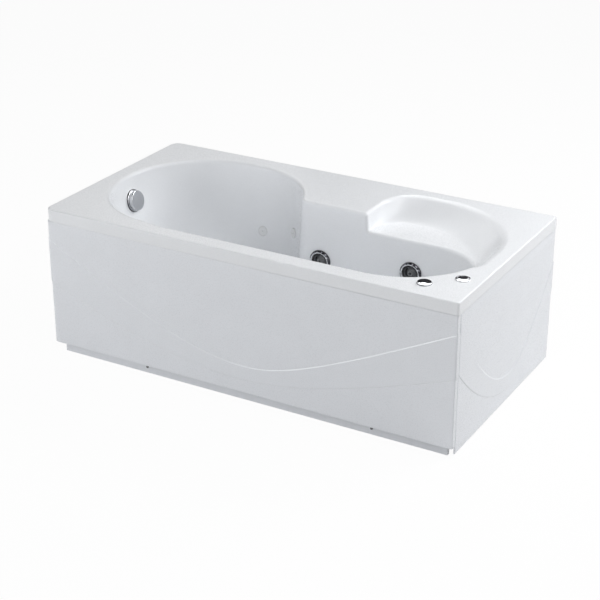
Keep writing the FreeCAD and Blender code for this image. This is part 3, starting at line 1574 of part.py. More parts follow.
for i in range(KNOB_FLUTES):
    turn = 2 * math.pi * (i + 0.5) / KNOB_FLUTES
    reach = size("overflow_knob") + size("overflow_flute") / 2
    flute_start = on_overflow(flute_base, reach * math.cos(turn), reach * math.sin(turn))
    flutes.append(
        rod("overflow_flute_%d" % i, "overflow_flute", "2 * overflow_knob_rise", *flute_start, overflow_out)
    )
node(cut("overflow_knob", knob_blank, *flutes))
cup_base = on_overflow(-overflow_thick)
CUP_DEPTH = "overflow_cup_length - overflow_cup_wall"
overflow_cup = turned(
    "overflow_cup",
    [
        ("overflow_hole", "0"),
        ("overflow_face - overflow_cup_flange", "0"),
        ("overflow_face - overflow_cup_flange", "overflow_cup_flange"),
        ("overflow_cup", "overflow_cup_flange"),
        ("overflow_cup", "overflow_cup_length"),
        ("0", "overflow_cup_length"),
        ("0", CUP_DEPTH),
        ("overflow_hole", CUP_DEPTH),
    ],
    *cup_base,
    overflow_out * -1,
)
PORT_LENGTH = "overflow_cup + overflow_port_reach"
overflow_port = rod("overflow_port", SOCKET_OUTSIDE, PORT_LENGTH, *overflow_tap, "-Z")
overflow_socket = rod("overflow_socket", SOCKET_INSIDE, PORT_LENGTH, *overflow_tap, "-Z")
cup_inside = rod("overflow_cup_inside", "overflow_hole", CUP_DEPTH, *cup_base, overflow_out * -1)
node(cut("overflow_body", fuse("overflow_solid", overflow_cup, overflow_port), overflow_socket, cup_inside))

# Deck controls

CONTROL_BASE = "rim_height - control_length"
node(
    turned(
        "air_control_body",
        [
            ("air_tube + running_gap", "0"),
            ("control_neck", "0"),
            ("control_neck", "control_length"),
            ("control_flange", "control_length"),
            ("control_flange", "control_length + control_flange_rise"),
            ("knob_stem + running_gap", "control_length + control_flange_rise"),
            ("knob_stem + running_gap", "pipe_insert + knob_socket_clear"),
            ("air_tube + running_gap", "pipe_insert + knob_socket_clear"),
        ],
        "air_x",
        "air_y",
        CONTROL_BASE,
    )
)
KNOB_UNDER = "knob_stem_length + control_flange_rise + free_gap"
knob_blank = turned(
    "air_knob_blank",
    [
        ("0", "0"),
        ("knob_stem", "0"),
        ("knob_stem", KNOB_UNDER),
        ("knob", KNOB_UNDER),
        ("knob", KNOB_UNDER + " + knob_edge"),
        ("knob - knob_bevel", KNOB_UNDER + " + knob_rise - knob_shoulder"),
        ("knob - knob_crown", KNOB_UNDER + " + knob_rise"),
        ("0", KNOB_UNDER + " + knob_rise + knob_dome"),
    ],
    "air_x",
    "air_y",
    "rim_height - knob_stem_length",
)
pointer = box(
    "air_pointer",
    "pointer_length",
    "pointer_width",
    "pointer_depth + knob_dome + knob_shoulder",
    "air_x + knob - pointer_inset - pointer_length",
    "air_y - pointer_width / 2",
    "rim_height + control_flange_rise + free_gap + knob_rise - pointer_depth",
)
node(cut("air_knob", knob_blank, pointer))
node(
    turned(
        "power_button_body",
        [
            ("0", "0"),
            ("button_spigot", "0"),
            ("button_spigot", "button_spigot_length"),
            ("control_neck", "button_spigot_length"),
            ("control_neck", "control_length"),
            ("control_flange", "control_length"),
            ("control_flange", "control_length + button_ring_rise - button_ring_bevel"),
            ("control_flange - button_ring_bevel", "control_length + button_ring_rise"),
            ("button + free_gap", "control_length + button_ring_rise"),
            ("button + free_gap", "control_length + button_ring_floor"),
            ("button_cavity", "control_length + button_ring_floor"),
            ("button_cavity", "button_floor"),
            ("0", "button_floor"),
        ],
        "button_x",
        "button_y",
        CONTROL_BASE,
    )
)
CAP_UNDER = "button_stem_length + button_cap_lift"
node(
    turned(
        "power_button",
        [
            ("0", "0"),
            ("button_stem", "0"),
            ("button_stem", CAP_UNDER),
            ("button", CAP_UNDER),
            ("button", CAP_UNDER + " + button_cap_rise - button_cap_edge"),
            ("button - button_cap_flat", CAP_UNDER + " + button_cap_rise"),
            ("0", CAP_UNDER + " + button_cap_rise + button_cap_dome"),
        ],
        "button_x",
        "button_y",
        "rim_height - button_stem_length",
    )
)
control_nuts = []
for control in ("air", "button"):
    nut_z = "rim_height - shell_wall - control_nut_rise"
    x = control + "_x"
    y = control + "_y"
    nut = hexagon("control_nut_body_" + control, "control_nut", "control_nut_rise", x, y, nut_z)
    bore = rod("control_nut_bore_" + control, "control_neck + running_gap", "control_nut_rise", x, y, nut_z)
    control_nuts.append(cut("control_nut_" + control, nut, bore))
node(group("control_nuts", *control_nuts))

button_floor = deck - size("control_length") + size("button_floor")
spring_low = button_floor + size("spring_wire") + size("running_gap")
spring_high = deck + size("button_cap_lift") - size("spring_wire") - size("running_gap")
spring_height = spring_high - spring_low
helix = Part.makeHelix(spring_height / size("spring_turns"), spring_height, size("spring_coil"))
section = Part.Wire(
    Part.makeCircle(size("spring_wire"), Vector(size("spring_coil"), 0, 0), Vector(0, 1, 0))
)
spring = Part.Wire(helix.Edges).makePipeShell([section], True, True)
spring_node = free_form("button_spring", spring)
spring_foot = Vector(size("button_x"), size("button_y"), spring_low)
spring_node.Placement = FreeCAD.Placement(spring_foot, FreeCAD.Rotation())
node(spring_node)

# Pump and motor, on one axis along X

MOTOR_X = "pump_x + volute_length + volute_back"
OUTLET_Y = "pump_y + outlet_offset"
volute_cup = turned(
    "volute_cup",
    [
        ("volute_cavity", "0"),
        ("volute", "0"),
        ("volute", "volute_length + volute_back"),
        ("shaft + shaft_clear", "volute_length + volute_back"),
        ("shaft + shaft_clear", "volute_length"),
        ("volute_cavity", "volute_length"),
    ],
    "pump_x",
    "pump_y",
    "pump_z",
    "+X",
)
outlet_x = "pump_x + volute_length / 2"
outlet_port = rod("pump_outlet", "pump_port", "outlet_top", outlet_x, OUTLET_Y, "pump_z", "+Z")
outlet_way = rod("pump_outlet_way", "pipe - pipe_wall", "outlet_top", outlet_x, OUTLET_Y, "pump_z", "+Z")
socket_z = "pump_z + outlet_top - pipe_insert"
outlet_socket = rod("pump_outlet_socket", "pipe + running_gap", "pipe_insert", outlet_x, OUTLET_Y, socket_z)
cavity = rod("volute_cavity_way", "volute_cavity", "volute_length", "pump_x", "pump_y", "pump_z", "+X")
node(cut("pump_volute", fuse("volute_solid", volute_cup, outlet_port), outlet_way, outlet_socket, cavity))
node(
    turned(
        "pump_cover",
        [
            ("pipe - pipe_wall", "0"),
            ("volute", "0"),
            ("volute", "pump_cover_sheet"),
            ("pump_port", "pump_cover_sheet"),
            ("pump_port", "pump_port_reach"),
            ("pipe + running_gap", "pump_port_reach"),
            ("pipe + running_gap", "pump_port_reach - pipe_insert"),
            ("pipe - pipe_wall", "pump_port_reach - pipe_insert"),
        ],
        "pump_x",
        "pump_y",
        "pump_z",
        "-X",
    )
)
IMPELLER_X = "pump_x + impeller_inset"
impeller_disc = turned(
    "impeller_disc",
    [
        ("shaft + running_gap / 2", "0"),
        ("impeller_hub", "0"),
        ("impeller_hub", "impeller_width - impeller_disc"),
        ("impeller", "impeller_width - impeller_disc"),
        ("impeller", "impeller_width"),
        ("shaft + running_gap / 2", "impeller_width"),
    ],
    IMPELLER_X,
    "pump_y",
    "pump_z",
    "+X",
)
vanes = []
VANES = 6
vane_height = "impeller_width - impeller_disc + vane_sink"
impeller_front = Vector(size("pump_x") + size("impeller_inset"), size("pump_y"), size("pump_z"))
for i in range(VANES):
    vane = doc.addObject("Part::Box", "impeller_vane_%d" % i)
    bind(vane, Length="impeller - impeller_hub", Width="vane_sheet", Height=vane_height)
    turn = FreeCAD.Rotation(AXES["+X"], 360 * i / VANES) * FreeCAD.Rotation(AXES["+Z"], AXES["+X"])
    root = Vector(size("impeller_hub") - size("vane_sink"), -size("vane_sheet") / 2, 0)
    vane.Placement = FreeCAD.Placement(impeller_front + turn.multVec(root), turn)
    vanes.append(vane)
node(fuse("impeller", impeller_disc, *vanes))
SHAFT_LENGTH = "volute_length + volute_back + motor_length + fan_cover_length - shaft_inset - shaft_short"
node(rod("motor_shaft", "shaft", SHAFT_LENGTH, "pump_x + shaft_inset", "pump_y", "pump_z", "+X"))
node(
    turned(
        "motor_housing",
        [
            ("shaft + running_gap", "0"),
            ("motor", "0"),
            ("motor", "motor_length"),
            ("shaft + running_gap", "motor_length"),
            ("shaft + running_gap", "motor_length - motor_end_wall"),
            ("motor - motor_wall", "motor_length - motor_end_wall"),
            ("motor - motor_wall", "motor_end_wall"),
            ("shaft + running_gap", "motor_end_wall"),
        ],
        MOTOR_X,
        "pump_y",
        "pump_z",
        "+X",
    )
)
ROTOR_X = MOTOR_X + " + (motor_length - rotor_length) / 2"
for name, inner, outer in (
    ("motor_rotor", "shaft + running_gap / 2", "rotor"),
    ("motor_stator", "rotor + rotor_air_gap", "motor - motor_wall - running_gap"),
):
    ring = [(inner, "0"), (outer, "0"), (outer, "rotor_length"), (inner, "rotor_length")]
    node(turned(name, ring, ROTOR_X, "pump_y", "pump_z", "+X"))
FAN_X = MOTOR_X + " + motor_length + fan_gap"
fan_hub = turned(
    "fan_hub",
    [
        ("shaft + running_gap / 2", "0"),
        ("fan_hub", "0"),
        ("fan_hub", "fan_width - fan_disc"),
        ("fan - fan_disc_inset", "fan_width - fan_disc"),
        ("fan - fan_disc_inset", "fan_width"),
        ("shaft + running_gap / 2", "fan_width"),
    ],
    FAN_X,
    "pump_y",
    "pump_z",
    "+X",
)
blades = []
BLADES = 8
motor_front = size("pump_x") + size("volute_length") + size("volute_back")
fan_front = Vector(motor_front + size("motor_length") + size("fan_gap"), size("pump_y"), size("pump_z"))
for i in range(BLADES):
    blade = doc.addObject("Part::Box", "fan_blade_%d" % i)
    bind(blade, Length="fan - fan_hub + vane_sink", Width="fan_blade", Height="fan_width - vane_sink")
    turn = FreeCAD.Rotation(AXES["+X"], 360 * i / BLADES) * FreeCAD.Rotation(AXES["+Z"], AXES["+X"])
    root = Vector(size("fan_hub") - size("vane_sink"), -size("fan_blade") / 2, 0)
    blade.Placement = FreeCAD.Placement(fan_front + turn.multVec(root), turn)
    blades.append(blade)
node(fuse("motor_fan", fan_hub, *blades))
cover_cup = turned(
    "fan_cover_cup",
    [
        ("motor - fan_cover_sheet", "0"),
        ("motor", "0"),
        ("motor", "fan_cover_length"),
        ("0", "fan_cover_length"),
        ("0", "fan_cover_length - fan_cover_sheet"),
        ("motor - fan_cover_sheet", "fan_cover_length - fan_cover_sheet"),
    ],
    MOTOR_X + " + motor_length",
    "pump_y",
    "pump_z",
    "+X",
)
vents = []
VENTS = 12
for i in range(VENTS):
    turn = 2 * math.pi * i / VENTS
    vents.append(
        rod(
            "fan_vent_%d" % i,
            "fan_vent",
            "fan_cover_sheet + 2 * cut_over",
            MOTOR_X + " + motor_length + fan_cover_length - fan_cover_sheet - cut_over",
            "pump_y + fan_vent_ring * %.4f" % math.cos(turn),
            "pump_z + fan_vent_ring * %.4f" % math.sin(turn),
            "+X",
        )
    )
node(cut("motor_fan_cover", cover_cup, *vents))

saddle_cut = rod("saddle_cut", "motor + saddle_gap", "motor_length", MOTOR_X, "pump_y", "pump_z", "+X")
terminal_block = box(
    "terminal_block",
    "terminal_length",
    "terminal_width",
    "terminal_rise + terminal_sink",
    MOTOR_X + " + terminal_inset",
    "pump_y - terminal_width / 2",
    "pump_z + motor - terminal_sink",
)
GLAND_X = MOTOR_X + " + terminal_inset + terminal_length / 2"
GLAND_Y = "pump_y + terminal_width / 2"
GLAND_Z = "pump_z + motor + terminal_rise / 2"
gland = rod("cable_gland", "gland", "gland_reach", GLAND_X, GLAND_Y, GLAND_Z, "+Y")
gland_way = rod("cable_gland_bore", "gland_bore", "gland_reach", GLAND_X, GLAND_Y, GLAND_Z, "+Y")
node(cut("terminal_box", fuse("terminal_solid", terminal_block, gland), saddle_cut, gland_way))
plate_bottom = CROSS_TOP
plate_sheet = box(
    "pump_plate",
    "cross_three_x - cross_two_x + frame_tube",
    "2 * plate_margin",
    "plate",
    "cross_two_x - frame_tube / 2",
    "pump_y - plate_margin",
    plate_bottom,
)
saddles = []
for end in ("front", "rear"):
    saddles.append(
        box(
            "saddle_" + end,
            "saddle_length",
            "saddle_width",
            "pump_z - frame_base - frame_tube - saddle_drop",
            MOTOR_X + " + saddle_" + end,
            "pump_y - saddle_width / 2",
            plate_bottom,
        )
    )
base_cut = rod("base_cut", "motor + saddle_gap", "motor_length", MOTOR_X, "pump_y", "pump_z", "+X")
node(cut("pump_base", fuse("pump_base_solid", plate_sheet, *saddles), base_cut))

# Pipes

back = size("channel_back")
port_y = back + size("jet_length") - size("jet_port_inset")
insert = size("pipe_insert")
gap = size("running_gap")
manifold_z = size("manifold_z")
jets = [Vector(size("jet_%s_x" % n), port_y, size("jet_%s_z" % n)) for n in ("one", "two")]
outlet_x = size("pump_x") + size("volute_length") / 2
outlet_y = size("pump_y") + size("outlet_offset")
outlet_top = size("pump_z") + size("outlet_top")
feed_start = Vector(outlet_x, outlet_y, outlet_top - insert + gap)
feed_corner = Vector(outlet_x, outlet_y, manifold_z)
feed_tee = Vector(outlet_x, port_y, manifold_z)
mini_start = Vector(jets[0].x - size("mini_link_reach"), port_y, manifold_z)
line = [Vector(jet.x, port_y, manifold_z) for jet in jets]
drops = [Vector(jet.x, port_y, jet.z + size("jet_port_reach") - insert + gap) for jet in jets]
node(
    pipework(
        "water_manifold",
        [mini_start, line[1], drops[1]],
        size("pipe"),
        size("pipe_wall"),
        [[feed_tee, feed_corner, feed_start], [line[0], drops[0]]],
    )
)
suction_z = size("suction_z")
suction_rear = back + size("suction_length")
suction_start = Vector(size("suction_x"), suction_rear - insert + gap, suction_z)
suction_turn = Vector(size("suction_x"), suction_rear + size("suction_bend"), suction_z)
pump_mouth = size("pump_x") - size("pump_port_reach")
suction_side = pump_mouth - size("suction_bend")
pump_inlet = Vector(pump_mouth + insert - gap, size("pump_y"), size("pump_z"))
node(
    pipework(
        "suction_pipe",
        [
            suction_start,
            suction_turn,
            Vector(suction_side, size("pump_y"), suction_z),
            Vector(suction_side, size("pump_y"), size("pump_z")),
            pump_inlet,
        ],
        size("pipe"),
        size("pipe_wall"),
    )
)
air_z = size("air_line_z")
air_y = size("air_line_y")
air_x = size("air_line_x")
air_rear = back + size("jet_length") - size("jet_air_socket") + gap
air_rise = deck - size("control_length") + insert
air_starts = [Vector(jet.x, air_y, air_z) for jet in jets]
air_ends = [[Vector(jet.x, air_y, jet.z), Vector(jet.x, air_rear, jet.z)] for jet in jets]
air_main = [
    air_ends[0][1],
    air_ends[0][0],
    air_starts[0],
    Vector(air_x, air_y, air_z),
    Vector(air_x, size("air_y"), air_z),
    Vector(size("air_x"), size("air_y"), air_z),
    Vector(size("air_x"), size("air_y"), air_rise),
]
air_branch = [air_starts[1]] + air_ends[1]
node(pipework("air_pipe", air_main, size("air_tube"), size("air_tube_wall"), [air_branch]))

mini_tops = [Vector(end.x, end.y, manifold_z) for end in mini_ends]
mini_drops = []
for end, (seat, outward) in zip(mini_ends, mini_jets):
    level = math.hypot(outward.x, outward.y)
    rise = (size("mini_neck") + gap + size("mini_pipe") * abs(outward.z)) / level
    mini_drops.append(end + AXES["+Z"] * rise)
mini_link = mini_start + Vector(-gap, 0, 0)
mini_elbow = mini_link + Vector(-size("mini_elbow_reach"), 0, 0)
mini_corner = Vector(mini_elbow.x, mini_tops[0].y, manifold_z)
mini_tee = Vector(mini_tops[1].x, mini_tops[0].y, manifold_z)
node(
    pipework(
        "mini_jet_pipe",
        [mini_link, mini_elbow, mini_corner, mini_tops[0], mini_drops[0]],
        size("mini_pipe"),
        size("air_tube_wall"),
        [[mini_tee, mini_tops[1], mini_drops[1]]],
    )
)
overflow_top = overflow_tap - AXES["+Z"] * (size("overflow_hole") + size("overflow_pipe_clear"))
waste_end = drain + to_overflow * (cup_bore + size("free_gap"))
overflow_run = [overflow_top, overflow_foot, waste_end]
node(pipework("overflow_pipe", overflow_run, size("overflow_pipe"), size("pipe_wall")))
signal_start = Vector(size("button_x"), size("button_y"), deck - size("control_length"))
terminal_end = motor_front + size("terminal_inset") + size("terminal_length")
terminal_mid_z = size("pump_z") + size("motor") + size("terminal_rise") / 2
signal_z = air_z - size("signal_drop")
signal_x = terminal_end + size("signal_bend")
node(
    pipework(
        "air_switch_tube",
        [
            signal_start,
            Vector(size("button_x"), size("button_y"), signal_z),
            Vector(size("button_x"), size("pump_y"), signal_z),
            Vector(signal_x, size("pump_y"), signal_z),
            Vector(signal_x, size("pump_y"), terminal_mid_z),
            Vector(terminal_end, size("pump_y"), terminal_mid_z),
        ],
        size("signal_tube"),
        size("signal_tube_wall"),
    )
)

# Check every object, then write one file for each sub-part

doc.recompute()
for item in doc.Objects:
    if "Invalid" in item.State or "Error" in item.State:
        raise RuntimeError("failed object: %s %s" % (item.Label, item.State))
os.makedirs("parts", exist_ok=True)
for item in sub_parts:
    shape = item.Shape
    if shape.isNull() or not shape.isValid():
        raise RuntimeError("bad shape: " + item.Label)
    print("%-22s solids %2d  volume %10.0f" % (item.Label, len(shape.Solids), shape.Volume))
for item in sub_parts:
    item.Shape.exportStep("parts/%s.step" % item.Label)
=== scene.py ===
"""Jetted bathtub with a wave-fronted apron: the looks of its pieces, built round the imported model.

Metres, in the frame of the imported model: +X along the tub away from the overflow end,
+Y to the wall behind, +Z up, with the origin on the floor under the middle of the rim.
"""

import json
import math

import bpy
import numpy as np
from mathutils import Matrix, Vector

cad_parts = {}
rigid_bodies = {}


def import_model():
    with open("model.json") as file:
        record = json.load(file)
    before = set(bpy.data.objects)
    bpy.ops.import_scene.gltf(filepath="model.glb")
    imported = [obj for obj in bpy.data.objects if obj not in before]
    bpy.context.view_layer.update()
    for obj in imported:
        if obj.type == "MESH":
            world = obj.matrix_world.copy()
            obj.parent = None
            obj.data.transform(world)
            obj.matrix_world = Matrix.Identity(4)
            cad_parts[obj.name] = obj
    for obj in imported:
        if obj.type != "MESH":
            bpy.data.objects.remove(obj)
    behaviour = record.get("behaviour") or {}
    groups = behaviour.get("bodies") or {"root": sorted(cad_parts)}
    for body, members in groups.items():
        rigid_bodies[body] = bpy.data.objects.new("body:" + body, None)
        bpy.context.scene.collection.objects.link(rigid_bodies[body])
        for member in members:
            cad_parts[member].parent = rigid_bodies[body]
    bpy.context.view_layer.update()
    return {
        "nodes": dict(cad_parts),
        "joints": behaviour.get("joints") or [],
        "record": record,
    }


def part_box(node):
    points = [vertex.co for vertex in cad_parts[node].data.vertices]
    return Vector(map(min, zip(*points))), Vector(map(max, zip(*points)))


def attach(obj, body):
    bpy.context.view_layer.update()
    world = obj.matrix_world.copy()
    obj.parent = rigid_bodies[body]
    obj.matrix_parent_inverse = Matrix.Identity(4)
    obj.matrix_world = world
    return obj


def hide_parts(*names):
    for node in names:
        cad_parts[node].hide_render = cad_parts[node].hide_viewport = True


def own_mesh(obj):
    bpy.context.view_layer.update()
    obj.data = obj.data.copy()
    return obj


for leftover in list(bpy.data.objects):
    bpy.data.objects.remove(leftover)

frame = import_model()
NODES = frame["nodes"]


# Materials: each one has its own grain in colour, roughness and relief

NOISE_LOW = 0.3
NOISE_HIGH = 0.7
COARSER = 40
GRAIN_DEPTH = 0.0004
FIBRE_DEPTH = 0.0006


def shader(name, colour, roughness, metallic=0.0, **sockets):
    """New material with the values that are the same all over set on the shader itself."""
    material = bpy.data.materials.new(name)
    material.use_nodes = True
    tree = material.node_tree
    principled = tree.nodes["Principled BSDF"]
    principled.inputs["Base Color"].default_value = (*colour, 1.0)
    principled.inputs["Roughness"].default_value = roughness
    principled.inputs["Metallic"].default_value = metallic
    for socket, value in sockets.items():
        principled.inputs[socket.replace("_", " ")].default_value = value
    return material, tree, principled


def texture(tree, kind, stretch=(1.0, 1.0, 1.0), **values):
    """Texture node in the piece's own coordinates."""
    place = tree.nodes.new("ShaderNodeTexCoord")
    mapping = tree.nodes.new("ShaderNodeMapping")
    mapping.inputs["Scale"].default_value = stretch
    tree.links.new(place.outputs["Object"], mapping.inputs["Vector"])
    node = tree.nodes.new(kind)
    tree.links.new(mapping.outputs["Vector"], node.inputs["Vector"])
    for socket, value in values.items():
        node.inputs[socket.replace("_", " ")].default_value = value
    return node


def spread(tree, source, low, high):
    """The texture's value mapped to a range."""
    node = tree.nodes.new("ShaderNodeMapRange")
    node.inputs["From Min"].default_value = NOISE_LOW
    node.inputs["From Max"].default_value = NOISE_HIGH
    node.inputs["To Min"].default_value = low
    node.inputs["To Max"].default_value = high
    tree.links.new(source, node.inputs["Value"])
    return node.outputs["Result"]


def tint(tree, source, first, second):
    """The texture's value as a colour between two."""
    node = tree.nodes.new("ShaderNodeValToRGB")
    node.color_ramp.elements[0].position = NOISE_LOW
    node.color_ramp.elements[0].color = (*first, 1.0)
    node.color_ramp.elements[1].position = NOISE_HIGH
    node.color_ramp.elements[1].color = (*second, 1.0)
    tree.links.new(source, node.inputs["Fac"])
    return node.outputs["Color"]


def relief(tree, principled, source, strength, distance):
    """The texture's value as fine relief on the surface."""
    bump = tree.nodes.new("ShaderNodeBump")
    bump.inputs["Strength"].default_value = strength
    bump.inputs["Distance"].default_value = distance
    tree.links.new(source, bump.inputs["Height"])
    tree.links.new(bump.outputs["Normal"], principled.inputs["Normal"])


def grained(
    name,
    colour,
    roughness,
    grain,
    shade=0.96,
    metallic=0.0,
    stretch=(1, 1, 1),
    rough=0.25,
    bump=0.0,
    **sockets,
):
    """Material whose colour, roughness and relief vary with a fine and a coarse noise."""
    material, tree, principled = shader(name, colour, roughness, metallic, **sockets)
    fine = texture(tree, "ShaderNodeTexNoise", stretch, Scale=grain, Detail=4.0)
    coarse = texture(tree, "ShaderNodeTexNoise", stretch, Scale=grain / COARSER, Detail=3.0)
    darker = tuple(channel * shade for channel in colour)
    tree.links.new(tint(tree, coarse.outputs["Fac"], colour, darker), principled.inputs["Base Color"])
    swing = roughness * rough
    result = spread(tree, fine.outputs["Fac"], roughness - swing, roughness + swing)
    tree.links.new(result, principled.inputs["Roughness"])
    if bump > 0:
        relief(tree, principled, fine.outputs["Fac"], bump, GRAIN_DEPTH)
    return material


def board_material():
    """Raw board with growth rings and fibres along it."""
    material, tree, principled = shader("raw_board", (0.42, 0.29, 0.16), 0.65)
    rings = texture(
        tree, "ShaderNodeTexWave", (1.0, 9.0, 9.0), Scale=4.0, Distortion=6.0, Detail=3.0, Detail_Scale=1.5
    )
    fibre = texture(tree, "ShaderNodeTexNoise", (3.0, 120.0, 120.0), Scale=2.0, Detail=5.0)
    early_wood = (0.46, 0.32, 0.18)
    late_wood = (0.34, 0.22, 0.12)
    colour = tint(tree, rings.outputs["Fac"], early_wood, late_wood)
    tree.links.new(colour, principled.inputs["Base Color"])
    relief(tree, principled, fibre.outputs["Fac"], 0.3, FIBRE_DEPTH)
    return material


def galvanised_material():
    """Zinc-coated steel with its spangle."""
    material, tree, principled = shader("galvanised", (0.50, 0.52, 0.54), 0.42, 0.85)
    spangle = texture(tree, "ShaderNodeTexVoronoi", Scale=90.0)
    pale_zinc = (0.56, 0.58, 0.60)
    dull_zinc = (0.43, 0.45, 0.47)
    colour = tint(tree, spangle.outputs["Distance"], pale_zinc, dull_zinc)
    tree.links.new(colour, principled.inputs["Base Color"])
    tree.links.new(spread(tree, spangle.outputs["Distance"], 0.34, 0.50), principled.inputs["Roughness"])
    return material


ACRYLIC = grained(
    "acrylic",
    (0.825, 0.840, 0.862),
    roughness=0.28,
    grain=420,
    shade=0.985,
    bump=0.012,
    Specular_IOR_Level=0.3,
    Coat_Weight=0.1,
    Coat_Roughness=0.16,
)
PANEL = grained(
    "apron_gloss",
    (0.775, 0.795, 0.83),
    roughness=0.30,
    grain=380,
    shade=0.98,
    bump=0.02,
    Coat_Weight=0.2,
    Coat_Roughness=0.14,
)
PLINTH = grained("plinth_satin", (0.745, 0.765, 0.80), roughness=0.34, grain=300, shade=0.97, bump=0.03)
CHROME = grained(
    "chrome", (0.62, 0.63, 0.65), roughness=0.07, grain=260, shade=0.93, metallic=1.0, rough=0.5
)
# Chrome darkened to near black: a painted dark reflection for the outer flanks of the jet rings and the
# overflow rosette, not the metal's own colour
CHROME_PAINTED_DARK_REFLECTION = grained(
    "chrome_painted_dark_reflection", (0.09, 0.09, 0.10), roughness=0.12, grain=260, shade=0.9, metallic=1.0, rough=0.4
)
NOZZLE = grained("nozzle_grey", (0.22, 0.225, 0.235), roughness=0.30, grain=350, shade=0.9, bump=0.05)
BLACK = grained("black_moulding", (0.012, 0.012, 0.013), roughness=0.35, grain=350, shade=0.8, bump=0.05)
WHITE_TRIM = grained("white_trim", (0.78, 0.79, 0.80), roughness=0.18, grain=400, shade=0.97, bump=0.02)
PVC_WHITE = grained("pipe_white", (0.66, 0.66, 0.63), roughness=0.38, grain=200, shade=0.94, bump=0.04)
PVC_GREY = grained("pipe_grey", (0.10, 0.105, 0.115), roughness=0.42, grain=200, shade=0.9, bump=0.05)
RUBBER = grained("rubber", (0.018, 0.018, 0.018), roughness=0.75, grain=500, shade=0.8, bump=0.15)
PUMP_BLACK = grained("pump_black", (0.020, 0.020, 0.022), roughness=0.45, grain=300, shade=0.8, bump=0.12)
MOTOR = grained(
    "motor_cast", (0.40, 0.42, 0.45), roughness=0.42, grain=260, shade=0.9, metallic=0.9, bump=0.25
)
IRON = grained(
    "laminated_iron",
    (0.11, 0.095, 0.085),
    roughness=0.55,
    grain=30,
    shade=0.75,
    metallic=0.6,
    stretch=(60, 1, 1),
    bump=0.3,
)
STEEL = grained(
    "zinc_steel",
    (0.55, 0.56, 0.58),
    roughness=0.32,
    grain=40,
    shade=0.88,
    metallic=1.0,
    stretch=(1, 1, 12),
    bump=0.05,
)
SCREW = grained(
    "dull_steel", (0.16, 0.16, 0.165), roughness=0.40, grain=200, shade=0.85, metallic=0.9, bump=0.05
)
CLEAR_TUBE = grained(
    "milky_tube", (0.60, 0.64, 0.66), roughness=0.25, grain=150, shade=0.94, Transmission_Weight=0.35
)
FRAME_STEEL = galvanised_material()
BOARD = board_material()

FINISHES = {
    "acrylic": ACRYLIC,
    "panel": PANEL,
    "plinth": PLINTH,
    "screw": SCREW,
    "frame": FRAME_STEEL,
    "steel": STEEL,
    "board": BOARD,
    "chrome": CHROME,
    "nozzle": NOZZLE,
    "white_trim": WHITE_TRIM,
    "pvc_white": PVC_WHITE,
    "pvc_grey": PVC_GREY,
    "rubber": RUBBER,
    "pump_black": PUMP_BLACK,
    "motor": MOTOR,
    "iron": IRON,
    "clear_tube": CLEAR_TUBE,
}
for subpart in frame["record"]["subparts"]:
    mesh = NODES[subpart["node"]].data
    mesh.materials.clear()
    mesh.materials.append(FINISHES[subpart["material_slot"]])


# Mesh helpers

POLE = 1e-6
MOST_OF_EDGE = 0.45


def piece(name, points, faces, body, finish, replaced=(), smooth=True):
    """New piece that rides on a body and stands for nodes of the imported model."""
    mesh = bpy.data.meshes.new(name)
    mesh.from_pydata([tuple(p) for p in points], [], [tuple(f) for f in faces])
    mesh.validate()
    mesh.materials.append(FINISHES[finish])
    mesh.polygons.foreach_set("use_smooth", [smooth] * len(mesh.polygons))
    made = bpy.data.objects.new(name, mesh)
    bpy.context.scene.collection.objects.link(made)
    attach(made, body)
    if replaced:
        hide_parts(*replaced)
    return made


def softened(profile, radius, steps=4):
    """Profile of (radius, height) points with its corners rounded; the ends stay."""
    soft = [profile[0]]
    for before, corner, after in zip(profile, profile[1:], profile[2:]):
        a, b, c = (np.array(p, float) for p in (before, corner, after))
        back = np.linalg.norm(a - b)
        ahead = np.linalg.norm(c - b)
        reach = min(radius, MOST_OF_EDGE * back, MOST_OF_EDGE * ahead)
        start = b + (a - b) / back * reach
        stop = b + (c - b) / ahead * reach
        for i in range(steps + 1):
            t = i / steps
            soft.append(tuple((1 - t) ** 2 * start + 2 * t * (1 - t) * b + t ** 2 * stop))
    soft.append(profile[-1])
    return soft


def frame_on(origin, axis):
    """Matrix that puts local +Z on an axis at a point."""
    turn = Vector(axis).normalized().to_track_quat("Z", "Y").to_matrix().to_4x4()
    return Matrix.Translation(Vector(origin)) @ turn


def turned(name, profile, origin, axis, body, finish, replaced=(), segments=72, lobes=None):
    """Piece turned about an axis; lobes(angle, radius, height) may change the radius."""
    rings = []
    points = []
    for radius, height in profile:
        if radius < POLE:
            rings.append([len(points)] * segments)
            points.append((0.0, 0.0, height))
            continue
        ring = []
        for i in range(segments):
            angle = 2 * math.pi * i / segments
            reach = lobes(angle, radius, height) if lobes else radius
            ring.append(len(points))
            points.append((reach * math.cos(angle), reach * math.sin(angle), height))
        rings.append(ring)
    if profile[0][0] > POLE and profile[-1][0] > POLE:
        rings.append(rings[0])
    faces = []
    for low, high in zip(rings, rings[1:]):
        for i in range(segments):
            j = (i + 1) % segments
            corners = [low[i], low[j], high[j], high[i]]
            faces.append(tuple(dict.fromkeys(corners)))
    place = frame_on(origin, axis)
    return piece(name, [place @ Vector(p) for p in points], faces, body, finish, replaced)


# Moulded shell: the zero surface of a distance field with the sections of the basin

TUB_LOW, TUB_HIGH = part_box("tub_shell")
LENGTH = TUB_HIGH.x - TUB_LOW.x
WIDTH = TUB_HIGH.y - TUB_LOW.y
DECK = TUB_HIGH.z
WALL = 0.006
BAND_BOTTOM = DECK - 0.047
RIM_LEFT_CORNER = 0.036
RIM_RIGHT_CORNER = 0.009
RIM_EDGE = 0.005
LIP = 0.012
BASIN_FLOOR = TUB_LOW.z + WALL
FLOOR_ROUND = 0.070

